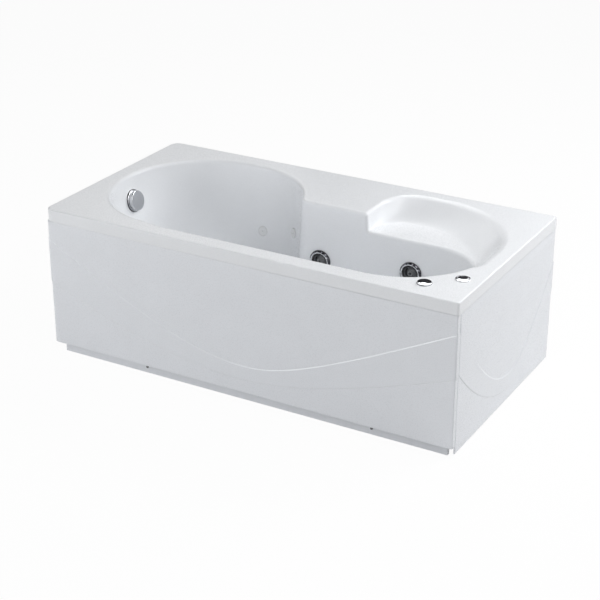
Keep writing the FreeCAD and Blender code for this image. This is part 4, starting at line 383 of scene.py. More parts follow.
BOWL_LEFT = -LENGTH / 2 + 0.069
BOWL_FRONT = -WIDTH / 2 + 0.088
BOWL_BACK = WIDTH / 2 - 0.080
BOWL_CORNER = (BOWL_BACK - BOWL_FRONT) / 2 - 0.011
BOWL_RIGHT = BOWL_LEFT + 2 * BOWL_CORNER + 0.047
CHANNEL_LEFT = BOWL_LEFT + 0.301
CHANNEL_RIGHT = LENGTH / 2 - 0.072
CHANNEL_FRONT = -WIDTH / 2 + 0.076
CHANNEL_BACK = WIDTH / 2 - 0.325
CHANNEL_FRONT_LEAN = 0.12
CHANNEL_END_LEAN = 0.62
CHANNEL_LEFT_CORNER = 0.120
CHANNEL_BACK_CORNER = 0.140
CHANNEL_BACK_CORNER_GROWTH = 0.060
CHANNEL_FRONT_CORNER = 0.320
CHANNEL_FRONT_CORNER_LEAN = 0.25
CORNER_GAP = 0.008
CORNER_BLEND = 0.02
BOWL_END_LEAN = 0.16
BOWL_END_CURVE = 0.4
BOWL_SIDE_LEAN = 0.10
BOWL_SIDE_CURVE = 0.2
BOWL_RIGHT_LEAN = 0.05

SHELF_DEPTH = 0.072
SHELF_RIGHT = LENGTH / 2 - 0.063
SHELF_LEFT = SHELF_RIGHT - 0.563
SHELF_BACK = WIDTH / 2 - 0.062
SHELF_FRONT = CHANNEL_BACK - 0.265
SHELF_FLOOR = DECK - SHELF_DEPTH
SHELF_BACK_COVE = 0.115
SHELF_LEFT_COVE = 0.005
SHELF_RIGHT_COVE = 0.072
SHELF_FRONT_CORNER = 0.050
SHELF_RIGHT_CORNER = 0.365
SHELF_RIGHT_EASE = 0.11
SHELF_LEFT_CORNER = 0.130
SHELF_LEFT_EASE = 0.05
SHELF_BEND = 1.35
COVE_END = 0.9995
COVE_STEP = 0.0004

CREASE_ROUND = 0.030
SHELF_ROUND = 0.012
SEAT_ROUND = 0.008


def round_max(a, b, radius):
    """Both fields at once, with the edge between them rounded."""
    inside = np.minimum(np.maximum(a, b), -radius)
    return inside + np.hypot(np.maximum(a + radius, 0), np.maximum(b + radius, 0))


def round_min(a, b, radius):
    """Either field, with the crease between them rounded."""
    return -round_max(-a, -b, radius)


def plan_distance(x, y, left, right, front, back, corners):
    """Distance in plan to a rectangle with rounded corners, listed anticlockwise from front left."""
    distance = np.maximum(np.maximum(left - x, x - right), np.maximum(front - y, y - back))
    signs = ((-1, -1), (1, -1), (1, 1), (-1, 1))
    for (sign_x, sign_y), radius in zip(signs, corners):
        u = sign_x * x - (sign_x * (right if sign_x > 0 else left) - radius)
        v = sign_y * y - (sign_y * (back if sign_y > 0 else front) - radius)
        distance = np.where((u > 0) & (v > 0), np.hypot(u, v) - radius, distance)
    return distance


def deep_plan(x, y, depth):
    """Channel and bowl together at a depth under the deck."""
    front = CHANNEL_FRONT + CHANNEL_FRONT_LEAN * depth
    share = np.clip(depth / SHELF_DEPTH, 0, 1)
    back_corner = CHANNEL_BACK_CORNER + CHANNEL_BACK_CORNER_GROWTH * share
    room = CHANNEL_BACK - front - back_corner - CORNER_GAP
    wanted = CHANNEL_FRONT_CORNER - CHANNEL_FRONT_CORNER_LEAN * depth
    front_corner = round_min(wanted, room, CORNER_BLEND)
    channel = plan_distance(
        x,
        y,
        CHANNEL_LEFT,
        CHANNEL_RIGHT - CHANNEL_END_LEAN * depth,
        front,
        CHANNEL_BACK,
        (CHANNEL_LEFT_CORNER, front_corner, back_corner, CHANNEL_LEFT_CORNER),
    )
    end = BOWL_END_LEAN * depth + BOWL_END_CURVE * depth ** 2
    side = BOWL_SIDE_LEAN * depth + BOWL_SIDE_CURVE * depth ** 2
    bowl = plan_distance(
        x,
        y,
        BOWL_LEFT + end,
        BOWL_RIGHT - BOWL_RIGHT_LEAN * depth,
        BOWL_FRONT + side,
        BOWL_BACK - side,
        [BOWL_CORNER - side] * 4,
    )
    return round_min(channel, bowl, CREASE_ROUND)


def shelf_plan(x, y, depth):
    """Recess of the shelf at a depth, with its sloping walls."""
    share = np.clip(depth / SHELF_DEPTH, 0, COVE_END)
    cove = 1 - (1 - share) ** (1 / SHELF_BEND)
    back = SHELF_BACK_COVE * cove
    right_corner = SHELF_RIGHT_CORNER - SHELF_RIGHT_EASE * back
    left_corner = SHELF_LEFT_CORNER - SHELF_LEFT_EASE * back
    return plan_distance(
        x,
        y,
        SHELF_LEFT + SHELF_LEFT_COVE * cove,
        SHELF_RIGHT - SHELF_RIGHT_COVE * cove,
        SHELF_FRONT,
        SHELF_BACK - back,
        (SHELF_FRONT_CORNER, SHELF_FRONT_CORNER, right_corner, left_corner),
    )


def shelf_recess(x, y, depth):
    """Distance to the sloping walls of the shelf, eased where they turn into its floor."""
    below = shelf_plan(x, y, depth + COVE_STEP)
    above = shelf_plan(x, y, depth - COVE_STEP)
    lean = (below - above) / (2 * COVE_STEP)
    return shelf_plan(x, y, depth) / np.hypot(1, lean)


def rim_plan(x, y):
    """Distance in plan to the rim's outside."""
    half_length = LENGTH / 2
    half_width = WIDTH / 2
    corners = (RIM_LEFT_CORNER, RIM_RIGHT_CORNER, RIM_RIGHT_CORNER, RIM_LEFT_CORNER)
    return plan_distance(x, y, -half_length, half_length, -half_width, half_width, corners)


JOINTS = {joint["name"]: joint for joint in frame["joints"]}


def joint_point(name):
    """Point that a joint turns about."""
    return np.array(JOINTS[name]["pos_m"])


def middle(node):
    """Middle of a node's box."""
    low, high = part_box(node)
    return (np.array(low) + np.array(high)) / 2


OVERFLOW_SEAT = joint_point("overflow_turn")
OVERFLOW_AXIS = np.array(JOINTS["overflow_turn"]["axis"])
OVERFLOW_OUT = OVERFLOW_AXIS / np.linalg.norm(OVERFLOW_AXIS)
SEAT_RADIUS = 0.049
SEAT_THICK = 0.0095
SEAT_EDGE = 0.002


def overflow_seat(x, y, z):
    """Flat round seat of the overflow on the bowl's wall."""
    east = x - OVERFLOW_SEAT[0]
    rise = z - OVERFLOW_SEAT[2]
    along = east * OVERFLOW_OUT[0] + rise * OVERFLOW_OUT[2]
    up = rise * OVERFLOW_OUT[0] - east * OVERFLOW_OUT[2]
    radial = np.hypot(y - OVERFLOW_SEAT[1], up) - SEAT_RADIUS
    return round_max(radial, np.maximum(along, -along - SEAT_THICK), SEAT_EDGE)


def top_field(x, y, z):
    """Negative in the material under the deck and the basin's inside."""
    depth = np.clip(DECK - z, 0, DECK - BASIN_FLOOR)
    deep = round_max(deep_plan(x, y, depth), BASIN_FLOOR - z, FLOOR_ROUND)
    shelf = np.maximum(shelf_recess(x, y, depth), SHELF_FLOOR - z)
    air = round_min(deep, shelf, SHELF_ROUND)
    over = z - DECK
    body = np.maximum(round_max(over, rim_plan(x, y), RIM_EDGE), round_max(over, -air, LIP))
    return round_min(body, overflow_seat(x, y, z), SEAT_ROUND)


def under_field(x, y, z):
    """Positive in the open space under the deck and round the basin."""
    depth = np.clip(DECK - z, 0, DECK - BASIN_FLOOR)
    deep = round_max(deep_plan(x, y, depth) - WALL, BASIN_FLOOR - WALL - z, FLOOR_ROUND + WALL)
    lowered = np.clip(DECK - z - WALL, 0, SHELF_DEPTH)
    shelf = np.minimum(shelf_plan(x, y, depth) - WALL, shelf_plan(x, y, lowered))
    shelf = np.maximum(shelf, SHELF_FLOOR - WALL - z)
    outside = round_min(deep, shelf, SHELF_ROUND)
    ceiling = round_max(z - DECK + WALL, rim_plan(x, y) + WALL, RIM_EDGE)
    open_space = round_max(ceiling, -outside, LIP)
    return np.minimum(-open_space, overflow_seat(x, y, z))


def surface_net(field, axes):
    """Points and quads of a field's zero surface, with one point in each cell that it crosses."""
    values = field(axes[0][:, None, None], axes[1][None, :, None], axes[2][None, None, :])
    values = np.broadcast_to(values, [len(axis) for axis in axes])
    solid = values < 0
    size = np.array(values.shape) - 1
    corners = [np.array((i, j, k)) for i in (0, 1) for j in (0, 1) for k in (0, 1)]
    filled = np.zeros(size, np.int8)
    for corner in corners:
        filled += solid[tuple(slice(first, first + count) for first, count in zip(corner, size))]
    crossed = (filled > 0) & (filled < len(corners))
    cells = np.argwhere(crossed)
    index = np.full(size, -1)
    index[crossed] = np.arange(len(cells))
    total = np.zeros((len(cells), 3))
    hits = np.zeros(len(cells))
    for a in corners:
        for axis in range(3):
            if a[axis] == 1:
                continue
            b = a.copy()
            b[axis] = 1
            first = values[tuple((cells + a).T)]
            second = values[tuple((cells + b).T)]
            meets = (first < 0) != (second < 0)
            share = first[meets] / (first[meets] - second[meets])
            low = np.stack([axes[k][cells[meets, k] + a[k]] for k in range(3)], 1)
            high = np.stack([axes[k][cells[meets, k] + b[k]] for k in range(3)], 1)
            total[meets] += low + share[:, None] * (high - low)
            hits[meets] += 1
    quads = []
    for axis in range(3):
        step_u = np.eye(3, dtype=int)[(axis + 1) % 3]
        step_v = np.eye(3, dtype=int)[(axis + 2) % 3]
        span = [slice(1, -1)] * 3
        span[axis] = slice(0, -1)
        ahead = list(span)
        ahead[axis] = slice(1, None)
        low = solid[tuple(span)]
        high = solid[tuple(ahead)]
        where = np.argwhere(low != high)
        outward = low[tuple(where.T)]
        where = where + np.array([0 if k == axis else 1 for k in range(3)])
        around = [where, where - step_u, where - step_u - step_v, where - step_v]
        quad = np.stack([index[tuple(cell.T)] for cell in around], 1)
        quad[~outward] = quad[~outward][:, ::-1]
        quads.append(quad)
    return total / hits[:, None], np.concatenate(quads)


SLOPE_STEP = 0.001
LEAST_SLOPE = 0.05
SETTLE_ROUNDS = 4
SETTLE_REACH = 0.004


def slope(field, points):
    """Gradient of a field at points."""
    columns = []
    for axis in range(3):
        shift = np.zeros(3)
        shift[axis] = SLOPE_STEP
        change = field(*(points + shift).T) - field(*(points - shift).T)
        columns.append(change / (2 * SLOPE_STEP))
    return np.stack(columns, 1)


def settle(field, points):
    """Moves points onto a field's zero surface."""
    for _ in range(SETTLE_ROUNDS):
        gradient = slope(field, points)
        steepness = np.maximum((gradient ** 2).sum(1), LEAST_SLOPE)[:, None]
        move = field(*points.T)[:, None] * gradient / steepness
        length = np.linalg.norm(move, axis=1, keepdims=True)
        points = points - move * np.minimum(1, SETTLE_REACH / np.maximum(length, POLE))
    return points


def grid_axis(stops, cells):
    """Grid lines through some stops, with a cell size for each span."""
    lines = [np.array(stops[:1])]
    for start, stop, cell in zip(stops, stops[1:], cells):
        count = max(1, int(round((stop - start) / cell)))
        lines.append(np.linspace(start, stop, count + 1)[1:])
    return np.concatenate(lines)


def fine_ended(half, cell, fine):
    """Grid lines across the tub, finer at the rim's two edges."""
    stops = [-half - 2 * fine, -half + EDGE_ZONE, half - EDGE_ZONE, half + 2 * fine]
    return grid_axis(stops, [fine, cell, fine])


def open_loops(quads):
    """Chains of points round the open edges of a mesh."""
    edges = np.concatenate([quads[:, [k, (k + 1) % 4]] for k in range(4)])
    known = set(map(tuple, edges))
    follow = {a: b for a, b in known if (b, a) not in known}
    loops = []
    while follow:
        start, current = follow.popitem()
        loop = [start]
        while current != start:
            loop.append(current)
            current = follow.pop(current)
        loops.append(loop)
    return loops


def zip_loops(points, first, second):
    """Triangles that join two open loops which run in opposite directions."""
    second = second[::-1]
    gaps = np.linalg.norm(points[second] - points[first[0]], axis=1)
    start = int(gaps.argmin())
    second = second[start:] + second[:start]
    i = 0
    j = 0
    faces = []
    while i < len(first) or j < len(second):
        a = first[i % len(first)]
        b = second[j % len(second)]
        next_a = first[(i + 1) % len(first)]
        next_b = second[(j + 1) % len(second)]
        step_a = np.linalg.norm(points[next_a] - points[b]) if i < len(first) else np.inf
        step_b = np.linalg.norm(points[next_b] - points[a]) if j < len(second) else np.inf
        if step_a <= step_b:
            faces.append((next_a, a, b))
            i += 1
        else:
            faces.append((b, next_b, a))
            j += 1
    return faces


JET_HOLE = 0.031
SUCTION_HOLE = 0.026
OVERFLOW_HOLE = 0.022
WASTE_HOLE = 0.0253
CONTROL_HOLE = 0.0178
BACKWARD = (0, 1, 0)
UP = (0, 0, 1)


def shell_holes():
    """Axis point, direction and radius of each hole in the shell."""
    return [
        (joint_point("jet_1_flow"), BACKWARD, JET_HOLE),
        (joint_point("jet_2_flow"), BACKWARD, JET_HOLE),
        (middle("suction_cover"), BACKWARD, SUCTION_HOLE),
        (OVERFLOW_SEAT, OVERFLOW_OUT, OVERFLOW_HOLE),
        (middle("drain_plug"), UP, WASTE_HOLE),
        (joint_point("air_knob_turn"), UP, CONTROL_HOLE),
        (middle("power_button"), UP, CONTROL_HOLE),
    ]


HOLE_REACH = 0.025
EDGE_ZONE = 0.010
SKIRT_REACH = 0.002
SKIN_CELL = 0.0068
SKIN_FINE = 0.0020
SKIN_LIP = 0.0032
UNDERSIDE_CELL = 0.0110
UNDERSIDE_FINE = 0.0040


def skin(field, cell, fine, lip_cell, rim_inset):
    """One side of the shell: settled points, quads, normals and its open loops, the rim's first."""
    margin = 2 * cell
    heights = [TUB_LOW.z - margin, DECK - 2 * LIP, DECK - EDGE_ZONE, DECK + 2 * fine]
    axes = (
        fine_ended(LENGTH / 2, cell, fine),
        fine_ended(WIDTH / 2, cell, fine),
        grid_axis(heights, [cell, lip_cell, fine]),
    )
    points, quads = surface_net(field, axes)
    points = settle(field, points)
    edge = rim_plan(points[:, 0], points[:, 1]) + rim_inset
    skirt = (np.abs(edge) < SKIRT_REACH) & (points[:, 2] < DECK - RIM_EDGE)
    below = skirt[quads].all(1) & (points[quads][:, :, 2].mean(1) < BAND_BOTTOM)
    keep = ~below
    rounds = []
    for centre, direction, radius in shell_holes():
        along = (points - centre) @ np.array(direction)
        radial = points - centre - along[:, None] * np.array(direction)
        distance = np.linalg.norm(radial, axis=1)
        inside = (distance < radius) & (np.abs(along) < HOLE_REACH)
        keep &= ~inside[quads].any(1)
        rounds.append((distance, radial, along, radius))
    quads = quads[keep]
    loops = open_loops(quads)
    loops.sort(key=len, reverse=True)
    ordered = [loops[0]]
    points[loops[0], 2] = BAND_BOTTOM
    for distance, radial, along, radius in rounds:
        nearest = min(loops[1:], key=lambda loop: distance[loop].mean() + np.abs(along[loop]).mean())
        pull = (radius / distance[nearest] - 1)[:, None] * radial[nearest]
        points[nearest] += pull
        ordered.append(nearest)
    normals = slope(field, points)
    normals /= np.linalg.norm(normals, axis=1, keepdims=True)
    return points, quads, normals, ordered


def tub_shell():
    """The moulded shell: deck and basin on one side, underside on the other, joined at rim and holes."""
    upper = skin(top_field, SKIN_CELL, SKIN_FINE, SKIN_LIP, 0.0)
    lower = skin(under_field, UNDERSIDE_CELL, UNDERSIDE_FINE, UNDERSIDE_FINE, WALL)
    count = len(upper[0])
    points = np.concatenate([upper[0], lower[0]])
    normals = np.concatenate([upper[2], lower[2]])
    faces = [tuple(q) for q in upper[1]] + [tuple(q + count) for q in lower[1]]
    for first, second in zip(upper[3], lower[3]):
        faces += zip_loops(points, first, [i + count for i in second])
    used = np.zeros(len(points), bool)
    for face in faces:
        used[list(face)] = True
    renumber = np.cumsum(used) - 1
    faces = [tuple(renumber[list(face)]) for face in faces]
    shell = piece("shell_moulding", points[used], faces, "tub", "acrylic", ["tub_shell"])
    shell.data.normals_split_custom_set_from_vertices([tuple(n) for n in normals[used]])
    return shell


tub_shell()


# Apron panels: rolled edges and a raised band between two wave lines

PANEL_SHEET = 0.0035
ROLL = 0.003
FOLD = 0.0045
WAVE_RISE = 0.002
WAVE_RAMP = 0.0026
WAVE_ROWS = (-1.4, -1.0, -0.6, -0.2, 0.2, 0.6, 1.0, 1.4)
FACE_ROWS = 7
ROLL_TURNS = (0, 0.5, 1.05)
WELD_GAP = 0.00005


def wave_line(low, lowest, left, right):
    """Height of a wave line along a panel: two arms, each with its slope and softness."""

    def height(along):
        offset = along - lowest
        slope_by, soft = left if offset < 0 else right
        return low + slope_by * (math.sqrt(offset ** 2 + soft ** 2) - soft)

    return height


def ramp(value):
    """Smooth step from 0 to 1 across a wave line."""
    share = min(1.0, max(0.0, 0.5 + value / (2 * WAVE_RAMP)))
    return share * share * (3 - 2 * share)


def arc_path(centre, radius, start, stop, steps=8):
    """Plan points and outward normals round a corner."""
    path = []
    for i in range(steps + 1):
        angle = math.radians(start + (stop - start) * i / steps)
        normal = (math.cos(angle), math.sin(angle))
        path.append((centre[0] + radius * normal[0], centre[1] + radius * normal[1], *normal))
    return path


def straight_path(start, stop, normal, steps):
    """Plan points and outward normals between two ends, without the ends."""
    path = []
    for i in range(1, steps):
        share = i / steps
        x = start[0] + (stop[0] - start[0]) * share
        y = start[1] + (stop[1] - start[1]) * share
        path.append((x, y, *normal))
    return path


def face_heights(bottom, top, lower, upper):
    """Rows of one column of the panel face, close together at the wave lines."""
    near = [WAVE_RAMP * share for share in WAVE_ROWS]
    spans = [bottom, lower + near[0], lower + near[-1], upper + near[0], upper + near[-1], top]
    spans = [min(top, max(bottom, z)) for z in spans]
    rows = []
    for number, (start, stop) in enumerate(zip(spans, spans[1:])):
        if number in (1, 3):
            line = lower if number == 1 else upper
            rows += [min(top, max(bottom, line + step)) for step in near[:-1]]
        else:
            rows += [start + (stop - start) * i / FACE_ROWS for i in range(FACE_ROWS)]
    return rows + [top]


def apron(name, path, along, bottom, top, lower, upper, replaced):
    """Panel swept along a plan path, with its top and bottom edges rolled back."""
    columns = []
    for x, y, normal_x, normal_y in path:
        low_line = lower((x, y)[along])
        high_line = upper((x, y)[along])
        rolls = [(ROLL * (1 - math.sin(turn)), ROLL * (1 - math.cos(turn))) for turn in ROLL_TURNS]
        rows = [(-FOLD, bottom)]
        rows += [(-back, bottom + rise) for back, rise in rolls]
        for z in face_heights(bottom + ROLL, top - ROLL, low_line, high_line):
            rows.append((WAVE_RISE * ramp(z - low_line) * ramp(high_line - z), z))
        last = rows[-1][0]
        rows += [(last - back, top - rise) for back, rise in reversed(rolls)]
        rows.append((-FOLD, top))
        columns.append([(x + normal_x * out, y + normal_y * out, z) for out, z in rows])
    count = len(columns[0])
    points = [p for column in columns for p in column]
    faces = []
    for i in range(len(columns) - 1):
        for j in range(count - 1):
            a = i * count + j
            faces.append((a, a + count, a + count + 1, a + 1))
    panel = piece(name, points, faces, "tub", "panel", replaced)
    weld = panel.modifiers.new("weld", "WELD")
    weld.merge_threshold = WELD_GAP
    sheet = panel.modifiers.new("sheet", "SOLIDIFY")
    sheet.thickness = PANEL_SHEET
    sheet.offset = -1
    return panel


FRONT_LOW, FRONT_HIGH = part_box("front_panel")
END_LOW, END_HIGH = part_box("end_panel")
FRONT_FACE = FRONT_LOW.y + WAVE_RISE
FRONT_LEFT_ROUND = 0.019
FRONT_RIGHT_ROUND = 0.005
END_FACE = END_HIGH.x - WAVE_RISE
END_ROUND = 0.005
FRONT_STEPS = 150
END_STEPS = 90
RETURN_STEPS = 4
FRONT_LOWER_WAVE = wave_line(low=0.091, lowest=-0.015, left=(0.48, 0.600), right=(0.43, 0.500))
FRONT_UPPER_WAVE = wave_line(low=0.146, lowest=0.020, left=(0.62, 0.450), right=(0.53, 0.250))
END_LOWER_WAVE = wave_line(low=0.058, lowest=0.055, left=(4.7, 2.0), right=(0.82, 0.120))
END_UPPER_WAVE = wave_line(low=0.114, lowest=0.055, left=(7.3, 2.0), right=(1.28, 0.200))
front_left = (FRONT_LOW.x + FRONT_LEFT_ROUND, FRONT_FACE + FRONT_LEFT_ROUND)
front_right = (FRONT_HIGH.x - FRONT_RIGHT_ROUND, FRONT_FACE + FRONT_RIGHT_ROUND)
front_return = (FRONT_HIGH.x, FRONT_HIGH.y)
apron(
    "front_apron",
    arc_path(front_left, FRONT_LEFT_ROUND, 180, 270)
    + straight_path((front_left[0], FRONT_FACE), (front_right[0], FRONT_FACE), (0, -1), FRONT_STEPS)
    + arc_path(front_right, FRONT_RIGHT_ROUND, 270, 360)
    + straight_path((front_return[0], front_right[1]), front_return, (1, 0), RETURN_STEPS)
    + [(*front_return, 1, 0)],
    along=0,
    bottom=FRONT_LOW.z,
    top=FRONT_HIGH.z,
    lower=FRONT_LOWER_WAVE,
    upper=FRONT_UPPER_WAVE,
    replaced=["front_panel"],
)
end_near = (END_FACE - END_ROUND, END_LOW.y + END_ROUND)
end_far = (END_FACE - END_ROUND, END_HIGH.y - END_ROUND)
apron(
    "end_apron",
    arc_path(end_near, END_ROUND, 270, 360)
    + straight_path((END_FACE, end_near[1]), (END_FACE, end_far[1]), (1, 0), END_STEPS)
    + arc_path(end_far, END_ROUND, 0, 90),
    along=1,
    bottom=END_LOW.z,
    top=END_HIGH.z,
    lower=END_LOWER_WAVE,
    upper=END_UPPER_WAVE,
    replaced=["end_panel"],
)


# Jets: a lobed chrome ring with a black throat round a ball nozzle

FINE_EDGE = 0.0010
EDGE = 0.0012
SOFT_EDGE = 0.0016
JET_AXIS = (0, -1, 0)
BEZEL_SEGMENTS = 120
BEZEL_LOBES = 10
LOBE_START = 0.036
LOBE_BASE = 0.002
LOBE_FADE = 0.005
LOBE_DEPTH = 0.0030
LOBE_SHARPNESS = 1.5
THROAT_EDGE = 0.0325
FLANK_EDGE = 0.0378


def bezel_lobes(angle, radius, height):
    """Finger notches round the outside of the ring."""
    if radius < LOBE_START or height < LOBE_BASE:
        return radius
    notch = max(0.0, math.cos(BEZEL_LOBES * angle)) ** LOBE_SHARPNESS
    return radius - LOBE_DEPTH * notch * min(1.0, (radius - LOBE_START) / LOBE_FADE)


def finish_band(made, centre, axis, inner, outer, material):
    """Gives the faces between two radii another material."""
    made.data.materials.append(material)
    number = len(made.data.materials) - 1
    for polygon in made.data.polygons:
        offset = polygon.center - Vector(centre)
        along = offset.dot(Vector(axis))
        if inner < (offset - Vector(axis) * along).length < outer:
            polygon.material_index = number


BEZEL_PROFILE = softened(
    [
        (0.0386, 0.0005),
        (0.0440, 0.0005),
        (0.0440, 0.0060),
        (0.0415, 0.0105),
        (0.0375, 0.0129),
        (0.0335, 0.0122),
        (0.0325, 0.0098),
        (0.0270, 0.0068),
        (0.0255, 0.0054),
        (0.0383, 0.0054),
    ],
    EDGE,
)
BALL = 0.0236
BALL_ANGLES = [math.radians(angle) for angle in range(0, 150, 10)]
NOZZLE_SEGMENTS = 64
NOZZLE_PROFILE = [(BALL * math.sin(angle), -BALL * math.cos(angle)) for angle in BALL_ANGLES]
NOZZLE_PROFILE += softened(
    [
        (0.0112, 0.0212),
        (0.0104, 0.0240),
        (0.0100, 0.0298),
        (0.0062, 0.0298),
        (0.0055, 0.0020),
        (0.0, 0.0020),
    ],
    FINE_EDGE,
)
for number in (1, 2):
    centre = joint_point("jet_%d_flow" % number)
    bezel = turned(
        "jet_ring_%d" % number,
        BEZEL_PROFILE,
        centre,
        JET_AXIS,
        "jet_bezel_%d" % number,
        "chrome",
        ["jet_bezel_%d" % number],
        BEZEL_SEGMENTS,
        bezel_lobes,
    )
    finish_band(bezel, centre, JET_AXIS, 0, THROAT_EDGE, BLACK)
    # Outer flank of the ring in the darkened chrome: a painted dark reflection
    finish_band(bezel, centre, JET_AXIS, FLANK_EDGE, math.inf, CHROME_PAINTED_DARK_REFLECTION)
    turned(
        "jet_eye_%d" % number,
        NOZZLE_PROFILE,
        joint_point("jet_%d_aim" % number),
        JET_AXIS,
        "jet_nozzle_%d" % number,
        "nozzle",
        ["jet_nozzle_%d" % number],
        NOZZLE_SEGMENTS,
    )


# Overflow: rosette on its seat and the turning cap of the pop-up waste

RING_SEGMENTS = 96
ROSETTE_FLANK = 0.0440
ROSETTE_PROFILE = softened(
    [
        (0.0082, 0.0021),
        (0.0460, 0.0021),
        (0.0460, 0.0052),
        (0.0422, 0.0086),
        (0.0340, 0.0090),
        (0.0082, 0.0082),
    ],
    SOFT_EDGE,
)
CAP_SEGMENTS = 128
CAP_NOTCHES = 6
NOTCH_START = 0.038
NOTCH_TOP = 0.0235
NOTCH_DEPTH = 0.0014
NOTCH_SHARPNESS = 4


def cap_notches(angle, radius, height):
    """Shallow finger notches round the side of the cap."""
    if radius < NOTCH_START or height > NOTCH_TOP:
        return radius
    notch = max(0.0, -math.cos(CAP_NOTCHES * angle)) ** NOTCH_SHARPNESS
    return radius - NOTCH_DEPTH * notch


CAP_PROFILE = softened(
    [
        (0.0, -0.0230),
        (0.0080, -0.0230),
        (0.0080, 0.0094),
        (0.0392, 0.0096),
        (0.0400, 0.0110),
        (0.0400, 0.0222),
        (0.0388, 0.0246),
        (0.0355, 0.0252),
        (0.0, 0.0250),
    ],
    SOFT_EDGE,
)
rosette = turned(
    "overflow_ring",
    ROSETTE_PROFILE,
    OVERFLOW_SEAT,
    OVERFLOW_OUT,
    "tub",
    "chrome",
    ["overflow_rosette"],
    RING_SEGMENTS,
)
# Outer flank of the rosette in the darkened chrome: a painted dark reflection
finish_band(rosette, OVERFLOW_SEAT, OVERFLOW_OUT, ROSETTE_FLANK, math.inf, CHROME_PAINTED_DARK_REFLECTION)
turned(
    "overflow_cap",
    CAP_PROFILE,
    OVERFLOW_SEAT,
    OVERFLOW_OUT,
    "overflow_knob",
    "chrome",
    ["overflow_knob"],
    CAP_SEGMENTS,
    cap_notches,
)


# Deck controls: the air knob and the push button in its ring

AIR_KNOB_PROFILE = softened(
    [
        (0.0, -0.0200),
        (0.0060, -0.0200),
        (0.0060, 0.0024),
        (0.0258, 0.0024),
        (0.0260, 0.0050),
        (0.0250, 0.0062),
        (0.0190, 0.0072),
        (0.0110, 0.0080),
        (0.0, 0.0084),
    ],
    EDGE,
)
turned(
    "air_control_knob",
    AIR_KNOB_PROFILE,
    joint_point("air_knob_turn"),
    UP,
    "air_knob",
    "chrome",
    ["air_knob"],
    RING_SEGMENTS,
)
button_centre = middle("power_button")
button_seat = (button_centre[0], button_centre[1], DECK)
BUTTON_RING_PROFILE = softened(
    [
        (0.0203, 0.0006),
        (0.0150, 0.0006),
        (0.0150, -0.0440),
        (0.0175, -0.0440),
        (0.0175, -0.0002),
        (0.0268, 0.0002),
        (0.0270, 0.0026),
        (0.0256, 0.0039),
        (0.0208, 0.0049),
        (0.0203, 0.0040),
    ],
    FINE_EDGE,
)
turned(
    "push_button_ring",
    BUTTON_RING_PROFILE,
    button_seat,
    UP,
    "tub",
    "chrome",
    ["power_button_body"],
    RING_SEGMENTS,
)
BUTTON_CAP_PROFILE = softened(
    [
        (0.0, -0.0300),
        (0.0050, -0.0300),
        (0.0050, 0.0036),
        (0.0198, 0.0038),
        (0.0199, 0.0050),
        (0.0140, 0.0060),
        (0.0080, 0.0065),
        (0.0, 0.0067),
    ],
    EDGE,
)
turned(
    "push_button_cap",
    BUTTON_CAP_PROFILE,
    button_seat,
    UP,
    "power_button",
    "chrome",
    ["power_button"],
    RING_SEGMENTS,
)

SPRING_LOW, SPRING_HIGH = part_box("button_spring")
SPRING_WIRE = 0.001
SPRING_COIL = (SPRING_HIGH.x - SPRING_LOW.x) / 2 - SPRING_WIRE
SPRING_TURNS = 8
SPRING_STEPS = 28
WIRE_SIDES = 6


def coil_spring():
    """Helical wire under the button, built at one length, though the real one shortens as the button goes
    down.
    """
    base = SPRING_LOW.z + SPRING_WIRE
    rise = SPRING_HIGH.z - SPRING_LOW.z - 2 * SPRING_WIRE
    total = SPRING_TURNS * SPRING_STEPS
    points = []
    faces = []
    for i in range(total + 1):
        angle = 2 * math.pi * i / SPRING_STEPS
        height = base + rise * i / total
        for k in range(WIRE_SIDES):
            side = 2 * math.pi * k / WIRE_SIDES
            reach = SPRING_COIL + SPRING_WIRE * math.cos(side)
            points.append(
                (
                    button_centre[0] + reach * math.cos(angle),
                    button_centre[1] + reach * math.sin(angle),
                    height + SPRING_WIRE * math.sin(side),
                )
            )
    for i in range(total):
        for k in range(WIRE_SIDES):
            a = i * WIRE_SIDES + k
            b = i * WIRE_SIDES + (k + 1) % WIRE_SIDES
            faces.append((a, a + WIRE_SIDES, b + WIRE_SIDES, b))
    faces.append(tuple(range(WIRE_SIDES)))
    faces.append(tuple(total * WIRE_SIDES + k for k in reversed(range(WIRE_SIDES))))
    spring = piece("button_coil", points, faces, "tub", "steel", ["button_spring"])
    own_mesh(spring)


coil_spring()


# Camera at the photograph's viewing angle

CAMERA_TARGET = Vector((0.0, 0.0, 0.300))
CAMERA_YAW = math.radians(29.66)
CAMERA_PITCH = math.radians(24.8)
CAMERA_DISTANCE = 5.8895
CAMERA_RIGHT = 0.0026
CAMERA_UP = -0.0631
LENS = 92.93
SENSOR = 36
FAR = 100


def add_camera():
    """Camera that looks down on the front and the right end."""
    back = Vector(
        (
            math.sin(CAMERA_YAW) * math.cos(CAMERA_PITCH),
            -math.cos(CAMERA_YAW) * math.cos(CAMERA_PITCH),
            math.sin(CAMERA_PITCH),
        )
    )
    right = (-back).cross(Vector(UP)).normalized()
    up = back.cross(right)
    eye = CAMERA_TARGET + back * CAMERA_DISTANCE + right * CAMERA_RIGHT + up * CAMERA_UP
    data = bpy.data.cameras.new("camera")
    data.sensor_width = SENSOR
    data.lens = LENS
    data.clip_end = FAR
    camera = bpy.data.objects.new("camera", data)
    camera.matrix_world = Matrix((right, up, back)).transposed().to_4x4()
    camera.location = eye
    bpy.context.scene.collection.objects.link(camera)
    bpy.context.scene.camera = camera


# Floor, light and world

FLOOR_HALF = 12.0
FLOOR_COLOUR = (0.9, 0.9, 0.9, 1)
FLOOR_WHITENESS = 0.96
WHITE = (1, 1, 1, 1)
SKY_COLOUR = (0.93, 0.96, 1.0, 1)
SKY_STRENGTH = 0.05
CARD_COLOUR = (0.03, 0.03, 0.035)
CARD_ROUGHNESS = 0.9
BACK_PLANE = 3.2
SIDE_PLANE = 4.0
CARD_LOW = 0.05
CARD_TOP = 1.55


